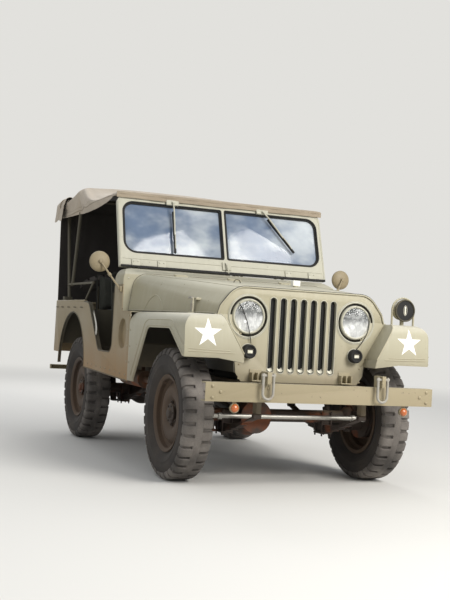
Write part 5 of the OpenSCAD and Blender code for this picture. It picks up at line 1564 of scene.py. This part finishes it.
def roof_held(co):
    y = co.y - AXLE_Y
    over_bow = (abs(y - REAR_BOW_Y) < 0.016 or y > 2.7) and abs(co.x) < 0.74
    return y < 1.06 or over_bow or (abs(abs(co.x) - ROOF_HALF) < 0.012 and y > 2.7)


hang(roof, roof_held, growth=0.006, weight=0.35)
modify(roof, "SUBSURF", levels=1, render_levels=1)

# %% Hems, seams and straps of the roof
bindings = []
for side in SIDE_SIGNS:
    low_line = [at(side * (ROOF_HALF + 0.001), y, height_on(edge, y) + 0.004)
                for y in (1.045 + 0.022 * k for k in range(77))]
    bindings.append(laid_line(low_line, roof, 0.0042))
    up_line = [p + Vector((0, 0, 0.026)) for p in low_line[10:]]
    bindings.append(laid_line(up_line, roof, 0.0021))
    for x in (0.3, 0.325):
        top_line = [at(side * x, 1.05 + 0.022 * k, height_on(ridge, 1.05 + 0.022 * k)) for k in range(76)]
        bindings.append(laid_line(top_line, roof, 0.0018))
header = [at(-0.766 + 1.532 * k / 60, 1.038, 1.75 + 0.0012 * math.sin(9 * k)) for k in range(61)]
front_roll = modify(pipe(header, 0.012), "SMOOTH", iterations=2)
bindings.append(front_roll)
band = grid_of(80, 4, lambda u, v: at(1.534 * (u - 0.5), 1.031 + 0.002 * math.sin(60 * u),
        1.72 + 0.036 * v + 0.0015 * math.sin(23 * u)))
bindings.append(modify(band, "SOLIDIFY", thickness=0.003, offset=0))
rear_line = [at(-0.7 + 1.4 * k / 60, 2.712, 1.893 - 0.018 * (2 * k / 60 - 1) ** 2) for k in range(61)]
bindings.append(laid_line(rear_line, roof, 0.0055))
roof_bindings = dress(smooth(joined(bindings), 60), "roof_bindings", CANVAS_EDGE, "canvas")
dress(roof, "roof_canvas", CANVAS, "canvas", replaces=("canvas_roof",))
give_shaded_inside(roof, 0.003, CANVAS_INSIDE_SHADE)
smooth(roof, 60)

# %% Rear flap
# the strip that closes the top's rear end, from the roof's edge down over the curtain's head
def flap_place(u, v):
    x = 0.764 * (2 * u - 1)
    corner = max(0.0, abs(x) - (ROOF_HALF - CORNER_BEND))
    head = height_on(ridge,
                     2.717) - 0.018 * (x / ROOF_HALF) ** 2 - (0.13
            - math.sqrt(max(0.0, 0.13 ** 2 - corner ** 2)))
    ripple = 0.004 * noise.noise(Vector((5 * x, 3 * v, 11.0))) + 0.003 * math.sin(21 * x) * (1 - v)
    return at(x, 2.72 + ripple, 1.696 + (head - 1.696) * v)


flap = grid_of(90, 12, flap_place)
FLAP_CUT = (1.53, 0.205)
lay_out(flap, *FLAP_CUT)
flap_seam = [flap_place(k / 60, 0.1) + Vector((0, 0.002, 0)) for k in range(61)]
flap_hem = dress(smooth(joined([laid_line(flap_seam, flap, 0.0032),
            pipe([flap_place(k / 60, 0.0) for k in range(61)], 0.0042)]), 60), "roof_flap_hem",
                 CANVAS_EDGE, "canvas")
dress(flap, "roof_rear_flap", CANVAS, "canvas")
face_backwards(flap)
give_shaded_inside(flap, 0.003, CANVAS_INSIDE_SHADE)
smooth(flap, 60)

# %% [markdown]
# At the roof's rear corners the side curtains are rolled up and tied, so that only their spiral ends show.
# A roll is a grid again, wound up by its shape function, with the loose end left hanging.


# %% Rolled side curtains
ROLL_CUT = (0.78, 0.235)
TURNS = 2.25
ROLL_X, ROLL_Z, TIE_R = 0.716, 1.8, 0.0605


def roll_place(side):
    def place(u, v):
        y = 2.515 + ROLL_CUT[1] * v
        tail = 0.13
        way = ROLL_CUT[0] * u
        wound = ROLL_CUT[0] - tail
        if way < wound:
            share = way / wound
            angle = 2 * math.pi * TURNS * share
            radius = (0.017 + 0.046 * share) * (1 + 0.1 * math.sin(3 * angle + 2 * v))
            x, z = radius * math.sin(angle), radius * math.cos(angle)
        else:
            x, z = 0.063 + 0.01 * (way - wound) / tail, wound - way
        pinch = 1 - 0.16 * math.exp(-((v - 0.55) / 0.14) ** 2)
        wave = 0.003 * noise.noise(Vector((9 * u, 14 * v, 3.0)))
        return at(side * (ROLL_X + (x + wave) * pinch), y + 0.012 * math.sin(7 * u), ROLL_Z + z * pinch)
    return place


for side, mark in SIDES:
    roll = grid_of(110, 16, roll_place(side))
    lay_out(roll, *ROLL_CUT)
    modify(roll, "SUBSURF", levels=1, render_levels=1)
    axis = at(side * ROLL_X, 0, ROLL_Z)
    outside = sum(face.normal.dot((face.center - axis) * Vector((1, 0, 1))) * face.area
                  for face in roll.data.polygons)
    if outside < 0:
        roll.data.flip_normals()
    dress(roll, "rolled_curtain_" + mark, CANVAS, "canvas")
    give_shaded_inside(roll, 0.0024, CANVAS_INSIDE_SHADE)
    smooth(roll, 60)
    tie = pipe([at(side * (ROLL_X + TIE_R * c), 2.644, ROLL_Z + TIE_R * s) for _, c, s in ring(1.0, 28)],
               0.0045, closed=True)
    tie = dress(smooth(tie, 60), "curtain_tie_" + mark, CANVAS_EDGE, "canvas")
print("rolled curtains made")

# %% [markdown]
# ## Rear curtain
# The rear curtain hangs from the roof's rear edge to the tailboard and carries a clear plastic window.
# Cloth only has to pucker it between its fixed edges. The opening is cut out of the grid, and a stitched
# frame covers the cut.

# %% Rear curtain
CURTAIN_HALF, CURTAIN_H = 0.752, 0.785
lean_curtain = spot(0, 2.64, 0.984) @ turn(-4.9, "X")


def curtain_place(u, v):
    x, z = CURTAIN_HALF * (2 * u - 1), CURTAIN_H * v
    ripple = 0.004 * noise.noise(Vector((4 * x, 2 * z, 7.0))) + 0.0022 * math.sin(26 * x) * (1 - v)
    return lean_curtain @ Vector((x, ripple + 0.004, z))


WINDOW_HALF, WINDOW_LOW, WINDOW_TOP = 0.205, 0.46, 0.67
curtain = grid_of(84, 46, curtain_place)
CURTAIN_CUT = (2 * CURTAIN_HALF, CURTAIN_H)
lay_out(curtain, *CURTAIN_CUT)
upright = lean_curtain.inverted()


def curtain_held(co):
    here = upright @ co
    return abs(here.x) > CURTAIN_HALF - 0.02 or here.z < 0.02 or here.z > CURTAIN_H - 0.02


hang(curtain, curtain_held, growth=0.007, weight=0.3)
edit(curtain, "DESELECT")
bpy.ops.object.mode_set(mode="OBJECT")
for face in curtain.data.polygons:
    here = upright @ face.center
    face.select = abs(here.x) < WINDOW_HALF and WINDOW_LOW < here.z < WINDOW_TOP
bpy.ops.object.mode_set(mode="EDIT")
bpy.ops.mesh.select_mode(type="FACE")
bpy.ops.mesh.delete(type="FACE")
bpy.ops.mesh.select_mode(type="VERT")
bpy.ops.object.mode_set(mode="OBJECT")
window_corners = [(-0.215, 0.45, 0.04), (0.215, 0.45, 0.04), (0.215, 0.68, 0.04), (-0.215, 0.68, 0.04)]
frame_line = [lean_curtain @ Vector((p.x, 0.006, p.y)) for p in rounded(window_corners, 6)]
window = slab([lean_curtain @ Vector((p.x, 0.004, p.y)) for p in rounded(window_corners, 6)], (0, 0.0012, 0))
dress(window, "rear_window_sheet", CLEAR_SHEET, "window_glass")
trims = [pipe(frame_line, 0.0075, closed=True),
         pipe([lean_curtain @ Vector((p.x * 1.09, 0.005, 0.565 + (p.y - 0.565) * 1.17))
               for p in rounded(window_corners, 6)], 0.002, closed=True)]
trims.append(pipe([lean_curtain @ Vector((CURTAIN_HALF * (2 * k / 40 - 1), 0.006, 0.006))
                   for k in range(41)], 0.006))
for x in STRAP_XS:
    strap = modify(grid_of(2, 8, lambda u, v, x=x: lean_curtain
                           @ Vector((x + 0.024 * (u - 0.5), 0.009 + 0.004 * math.sin(3 * v),
                -0.055 + 0.12 * v))), "SOLIDIFY", thickness=0.0025, offset=0)
    trims.append(strap)
curtain_trims = dress(smooth(joined(trims), 60), "rear_curtain_bindings", CANVAS_EDGE, "canvas")
face_backwards(curtain)
dress(curtain, "rear_curtain_canvas", CANVAS, "canvas", replaces=("rear_curtain",))
give_shaded_inside(curtain, 0.003, CANVAS_INSIDE_SHADE)
smooth(curtain, 60)
print("rear curtain made")

# %% [markdown]
# ## Under the hood
# With the hood up the engine shows, so its block gets what sits on it: a rocker cover held by two domed
# nuts, an oil-bath air cleaner with its horn, a battery on its shelf, the radiator's cap and top hose, a
# fan, a rusty manifold, and leads drawn as pipes along smoothed routes.


# %% Engine pieces
def bent(points, radius):
    """A hose or lead: a fine route whose corners are smoothed before it gets its thickness."""
    line = modify(chain(fine(points, 0.02)), "SMOOTH", iterations=3, factor=0.5)
    return smooth(thickened(line, radius), 60)


def capped_nut(x, y, z, radius):
    dome = [(radius, 0), (radius, 0.006)] + [(radius * cosine(a),
            0.006 + radius * sine(a)) for a in (20, 40, 60, 75)]
    return moved(turned([(0, 0)] + dome + [(0, 0.006 + radius)], "Z", 18), spot(x, y, z))


cover = soften(brick(at(-0.078, 0.000, 1.0345), at(0.078, 0.5, 1.08)), 0.018, 4)
flange = soften(brick(at(-0.095, -0.015, 1.034), at(0.095, 0.515, 1.042)), 0.003)
filler = moved(turned([(0, 0), (0.024, 0), (0.025, 0.018), (0.034, 0.02), (0.035, 0.03), (0.028, 0.034),
                       (0, 0.035)], "Z", 32), spot(0, 0.07, 1.0785))
head_bolts = [bolt_head(0.009, 0.007, at(side * 0.135, -0.05 + 0.095 * k, 1.0345), "Z")
              for side in SIDE_SIGNS for k in range(7)]
dress(joined([cover, flange, filler, capped_nut(0, 0.18, 1.079, 0.009),
              capped_nut(0, 0.4, 1.079, 0.009)] + head_bolts), "rocker_cover", OLIVE_DARK_AND_SHADED, "engine_paint")

can = [(0, 0), (0.072, 0), (0.08, 0.006), (0.081, 0.06), (0.086, 0.063), (0.086, 0.072), (0.079, 0.076),
       (0.076, 0.112), (0.06, 0.122), (0.018, 0.124), (0.016, 0.13), (0, 0.131)]
cleaner = moved(turned(can, "Z", 56, 35), spot(-0.29, 0.3, 0.955))
horn = bent([at(-0.29, 0.3, 1.06), at(-0.21, 0.3, 1.066), at(-0.16, 0.3, 1.062), at(-0.15, 0.3, 1.03)], 0.024)
bracket = soften(brick(at(-0.3, 0.285, 0.9), at(-0.185, 0.315, 0.957)), 0.003)
dress(joined([cleaner, horn, bracket]), "air_cleaner", BLACK, "engine_paint")

battery = soften(brick(at(0.255, 0.42, 0.9), at(0.425, 0.66, 1.08)), 0.006, 3)
cell_caps = [moved(turned([(0, 0), (0.014, 0), (0.014, 0.007), (0.01, 0.009), (0, 0.009)], "Z", 20),
                   spot(0.34, 0.465 + 0.05 * k, 1.0795)) for k in range(4)]
dress(joined([battery] + cell_caps), "battery", SEAL, "black_plastic")
shelf = soften(brick(at(0.245, 0.41, 0.888), at(0.455, 0.67, 0.9005)), 0.002)
clamp_bar = soften(brick(at(0.245, 0.53, 1.0795), at(0.435, 0.548, 1.088)), 0.002)
rods = [pipe([at(x, 0.539, 0.9), at(x, 0.539, 1.095)], 0.004) for x in (0.248, 0.432)]
posts = [moved(turned([(0, 0), (0.0105, 0), (0.009, 0.016), (0, 0.017)], "Z", 18), spot(x, 0.64, 1.079))
         for x in (0.28, 0.4)]
dress(smooth(joined([shelf, clamp_bar] + rods + posts), 40), "battery_clamp", WORN_STEEL, "bright_steel")

hose = bent([at(0.07, -0.232, 1.03), at(0.07, -0.15, 1.034), at(0.04, -0.095, 1.02),
             at(0.03, -0.07, 1.000)], 0.021)
leads = [bent([at(0.28, 0.64, 1.092), at(0.25, 0.7, 1.075), at(0.18, 0.735, 1.000), at(0.12, 0.74, 0.92)],
              0.0055), bent([at(0.4, 0.64, 1.092), at(0.43, 0.7, 1.06), at(0.44, 0.735, 0.98)], 0.0055),
         bent([at(0.000, 0.25, 1.09), at(0.11, 0.26, 1.075), at(0.17, 0.3, 0.99), at(0.192, 0.32, 0.9)],
              0.0035)]
for k in range(4):
    y = 0.06 + 0.11 * k
    leads.append(bent([at(0.15, y, 1.036), at(0.175, y + 0.012, 1.056), at(0.205, 0.23, 1.01),
                       at(0.205, 0.25, 0.93)], 0.0034))
dress(joined([hose] + leads), "hoses_and_leads", SEAL, "black_rubber")

top_tank = soften(brick(at(-0.205, -0.287, 1.06), at(0.205, -0.223, 1.086)), 0.01, 3)
neck = moved(turned([(0, 0), (0.022, 0), (0.022, 0.008), (0.033, 0.01), (0.034, 0.018), (0.026, 0.022),
                     (0, 0.022)], "Z", 36), spot(-0.06, -0.255, 1.085))
dress(joined([top_tank, neck]), "radiator_top_tank", BLACK, "engine_paint")

FAN_AT = spot(0, -0.155, 0.86)
blade_line = [(-0.03, 0.0, 0.04), (0.03, 0.022, 0.04), (0.046, 0.03, 0.185), (-0.034, -0.004, 0.185)]
blades = []
for angle, _, _ in ring(1.0, 4, 20):
    blade = modify(slab([Vector(p) for p in blade_line], (0, 0.002, 0)), "SUBSURF", levels=1, render_levels=1)
    blades.append(moved(blade, FAN_AT @ turn(angle, "Y")))
hub = moved(turned([(0, -0.02), (0.045, -0.018), (0.05, 0.0), (0.05, 0.03), (0.07, 0.034), (0.07, 0.052),
                    (0, 0.052)], "Y", 40), FAN_AT)
dress(smooth(joined(blades + [hub]), 40), "fan_and_pulley", BLACK, "engine_paint")

manifold = soften(brick(at(0.205, -0.01, 0.905), at(0.262, 0.47, 0.962)), 0.022, 4)
ports = [bent([at(0.18, y, 0.95), at(0.2, y, 0.95), at(0.232, y + 0.01, 0.934)], 0.022)
         for y in (0.04, 0.17, 0.3, 0.42)]
dress(joined([manifold] + ports), "exhaust_manifold", EXHAUST_RUST, "engine_paint")
print("engine bay made")

# %% [markdown]
# ## Seats
# Each seat is a canvas bag round a foam pad, so it is crowned in the middle and pulled in at its seams. The
# recipe: a slightly smaller block is remeshed into small even cells, Cloth blows it up gently with no
# gravity, the swelling is capped so that it keeps its size, and only then are the sewn channels pressed in
# and the piping added.

# %% A padded piece
CUT_BACK, CELL, SWELL_CAP = 0.011, 0.012, 0.022
CHANNEL_DEEP, CHANNEL_WIDE, WELT_R = 0.01, 0.009, 0.0048


def pad(width, depth, height, channels):
    """A pad standing on z = 0, centred in x and y. Channels are the x places of its sewn lines."""
    block = soften(brick((-width / 2 + CUT_BACK, -depth / 2 + CUT_BACK, CUT_BACK * 0.4),
                         (width / 2 - CUT_BACK, depth / 2 - CUT_BACK, height - CUT_BACK)), 0.02, 3)
    modify(block, "REMESH", mode="VOXEL", voxel_size=CELL, use_smooth_shade=True)
    start = [v.co.copy() for v in block.data.vertices]

    def prepare(settings):
        settings.use_pressure = True
        settings.uniform_pressure_force = 4.0
        settings.effector_weights.gravity = 0.0
        settings.tension_stiffness = settings.compression_stiffness = 15

    run_cloth(block, prepare)
    for vertex, before in zip(block.data.vertices, start):
        step = vertex.co - before
        if step.length > SWELL_CAP:
            vertex.co = before + step.normalized() * SWELL_CAP
        vertex.co.x = min(max(vertex.co.x, -width / 2), width / 2)
        vertex.co.y = min(max(vertex.co.y, -depth / 2), depth / 2)
        vertex.co.z = max(vertex.co.z, 0.0)
    modify(block, "SUBSURF", levels=1, render_levels=1)
    for vertex in block.data.vertices:
        upper = max(0.0, min(1.0, (vertex.co.z / height - 0.5) * 2))
        for line in channels:
            vertex.co.z -= upper * CHANNEL_DEEP * math.exp(-((vertex.co.x - line) / CHANNEL_WIDE) ** 2)
    piping = [(p.x, p.y, height * 0.62)
              for p in rounded([(-width / 2, -depth / 2, 0.03), (width / 2, -depth / 2, 0.03),
                                (width / 2, depth / 2, 0.03), (-width / 2, depth / 2, 0.03)], 5)]
    return block, pipe([(x * 0.985, y * 0.985, z) for x, y, z in piping], WELT_R, closed=True)


def seat_piece(name, size, channels, place, node):
    block, welt = pad(*size, channels)
    edit(block)
    bpy.ops.uv.cube_project(cube_size=1.0, correct_aspect=False, scale_to_bounds=False)
    bpy.ops.object.mode_set(mode="OBJECT")
    block.data.uv_layers.active.name = "UVMap"
    dress(smooth(moved(block, place), 60), name, SEAT_CANVAS, "seat_cloth", replaces=(node,))
    dress(smooth(moved(welt, place), 60), name + "_piping", SEAT_PIPING, "seat_cloth")
    print(name, len(block.data.vertices), "points")


SEAT_LINES = (-0.135, -0.045, 0.045, 0.135)
BENCH_LINES = (-0.3, -0.15, 0.0, 0.15, 0.3)
lie_back = Matrix(((1, 0, 0, 0), (0, 0, -1, 0.04), (0, 1, 0, 0), (0, 0, 0, 1)))
for side, mark in ((1, "driver_seat"), (-1, "passenger_seat")):
    x = side * 0.38
    seat_piece(mark + "_cushion", (0.45, 0.4, 0.09), SEAT_LINES, spot(x, 1.29, 0.77), mark)
    upright_back = spot(x, 1.542, 0.83) @ turn(-12, "X") @ lie_back @ Matrix.Translation((0, 0.21, 0))
    seat_piece(mark + "_back", (0.45, 0.42, 0.08), SEAT_LINES, upright_back, mark)
seat_piece("rear_seat_cushion", (0.936, 0.33, 0.08), BENCH_LINES, spot(0, 2.3, 0.89), "rear_seat")
bench_back = spot(0, 2.513, 0.95) @ turn(-6, "X") @ lie_back @ Matrix.Translation((0, 0.16, 0))
seat_piece("rear_seat_back", (0.936, 0.32, 0.072), BENCH_LINES, bench_back, "rear_seat")

# %% [markdown]
# ## Door straps, lamps at the rear and the dash
# What is left is small: two webbing straps across the door openings, the rear lamps with their lenses, and
# the dash with its one large dial.

# %% Door straps
STRAP_CUT = (0.03, 0.34)
for side, mark in SIDES:
    def strap_place(u, v):
        sway = 0.01 * math.sin(math.pi * v) ** 2
        belly = 0.125 * math.sin(math.pi * v) ** 1.3
        return at(side * (0.752 + sway), 1.478 + STRAP_CUT[0] * u - belly,
                  0.722 + 0.218 * v - 0.012 * math.sin(math.pi * v))

    strap = grid_of(4, 34, strap_place)
    lay_out(strap, *STRAP_CUT)
    modify(strap, "SUBSURF", levels=1, render_levels=1)
    modify(strap, "SOLIDIFY", thickness=0.0025, offset=0)
    dress(smooth(strap, 60), "door_strap_" + mark, WEBBING, "strap_web", replaces=("door_straps",))
    hooks = []
    for z in (0.722, 0.94):
        hooks.append(pipe([at(side * 0.753, 1.472, z), at(side * 0.753, 1.493, z + 0.012),
                           at(side * 0.753, 1.514, z), at(side * 0.753, 1.493, z - 0.012)], 0.0028,
                          closed=True))
    hook = dress(smooth(joined(hooks), 60), "door_strap_hooks_" + mark, WORN_STEEL, "bright_steel")

# %% Rear lamps
TAIL_X, TAIL_FACE = 0.69, 2.625
housings, lenses, rims = [], [], []
for side in SIDE_SIGNS:
    place = spot(side * TAIL_X, TAIL_FACE, 0.905)
    housings.append(moved(spun([(0, 0.0), (0.048, 0.0), (0.0485, 0.022), (0.046, 0.033), (0.04, 0.0385),
                                (0.0385, 0.034), (0.0, 0.033)], "Y", 48), place))
    lenses.append(moved(spun([(0.038, 0.032), (0.036, 0.0385), (0.024, 0.0425), (0.0, 0.044),
                              (0.0, 0.032)], "Y", 40), place))
    reflector = spot(side * TAIL_X, TAIL_FACE, 0.8)
    rims.append(moved(spun([(0.03, 0.0), (0.038, 0.0), (0.0385, 0.01), (0.035, 0.014), (0.031, 0.012),
                            (0.03, 0.0)], "Y", 40), reflector))
    lenses.append(moved(spun([(0.032, 0.004), (0.0318, 0.0105), (0.015, 0.013), (0.0, 0.0135),
                              (0.0, 0.004)], "Y", 40), reflector))
dress(smooth(joined(housings + rims), 40), "tail_lamp_housings", OLIVE, "olive_paint",
      replaces=("tail_lamps",))
dress(smooth(joined(lenses), 50), "tail_lamp_lenses", RED, "red_lens")

# %% Dash
DIAL_Z = 1.085
dial = moved(spun([(0.0, -0.006), (0.064, -0.006), (0.066, 0.0), (0.0, 0.0)], "Y", 48),
             spot(0.0, 0.957, DIAL_Z))
bezel = moved(spun([(0.06, 0.0), (0.07, 0.0), (0.071, 0.009), (0.064, 0.012), (0.06, 0.004), (0.06, 0.0)],
                   "Y", 48), spot(0.0, 0.955, DIAL_Z))
small_bezels, small_dials = [], []
for x, z in ((-0.105, 1.11), (-0.105, 1.055), (0.105, 1.11), (0.105, 1.055)):
    small_bezels.append(moved(spun([(0.019, 0.0), (0.024, 0.0), (0.0245, 0.007), (0.0205, 0.009),
                (0.019, 0.0)], "Y", 28), spot(x, 0.955, z)))
    small_dials.append(moved(spun([(0.0, 0.003), (0.02, 0.002), (0.02, -0.003), (0.0, -0.003)], "Y", 28),
                             spot(x, 0.957, z)))
needle = brick(at(-0.0015, 0.9585, DIAL_Z), at(0.0015, 0.96, 1.135))
dress(smooth(joined([dial] + small_dials), 40), "dash_dials", DIAL, "black_plastic")
dress(smooth(joined([bezel] + small_bezels), 40), "dash_bezels", OLIVE_DARK_AND_SHADED, "olive_paint")
marks = [moved(soften(brick((-0.001, -0.0008, 0.047), (0.001, 0.0008, 0.056)), 0.0003, 1),
               spot(0.0, 0.958, DIAL_Z) @ turn(a, "Y")) for a in range(-120, 121, 20)]
dress(joined([soften(needle, 0.0006, 1)] + marks), "dash_needle_and_marks", WHITE_MARK, "black_plastic")
print("straps, rear lamps and dash made")
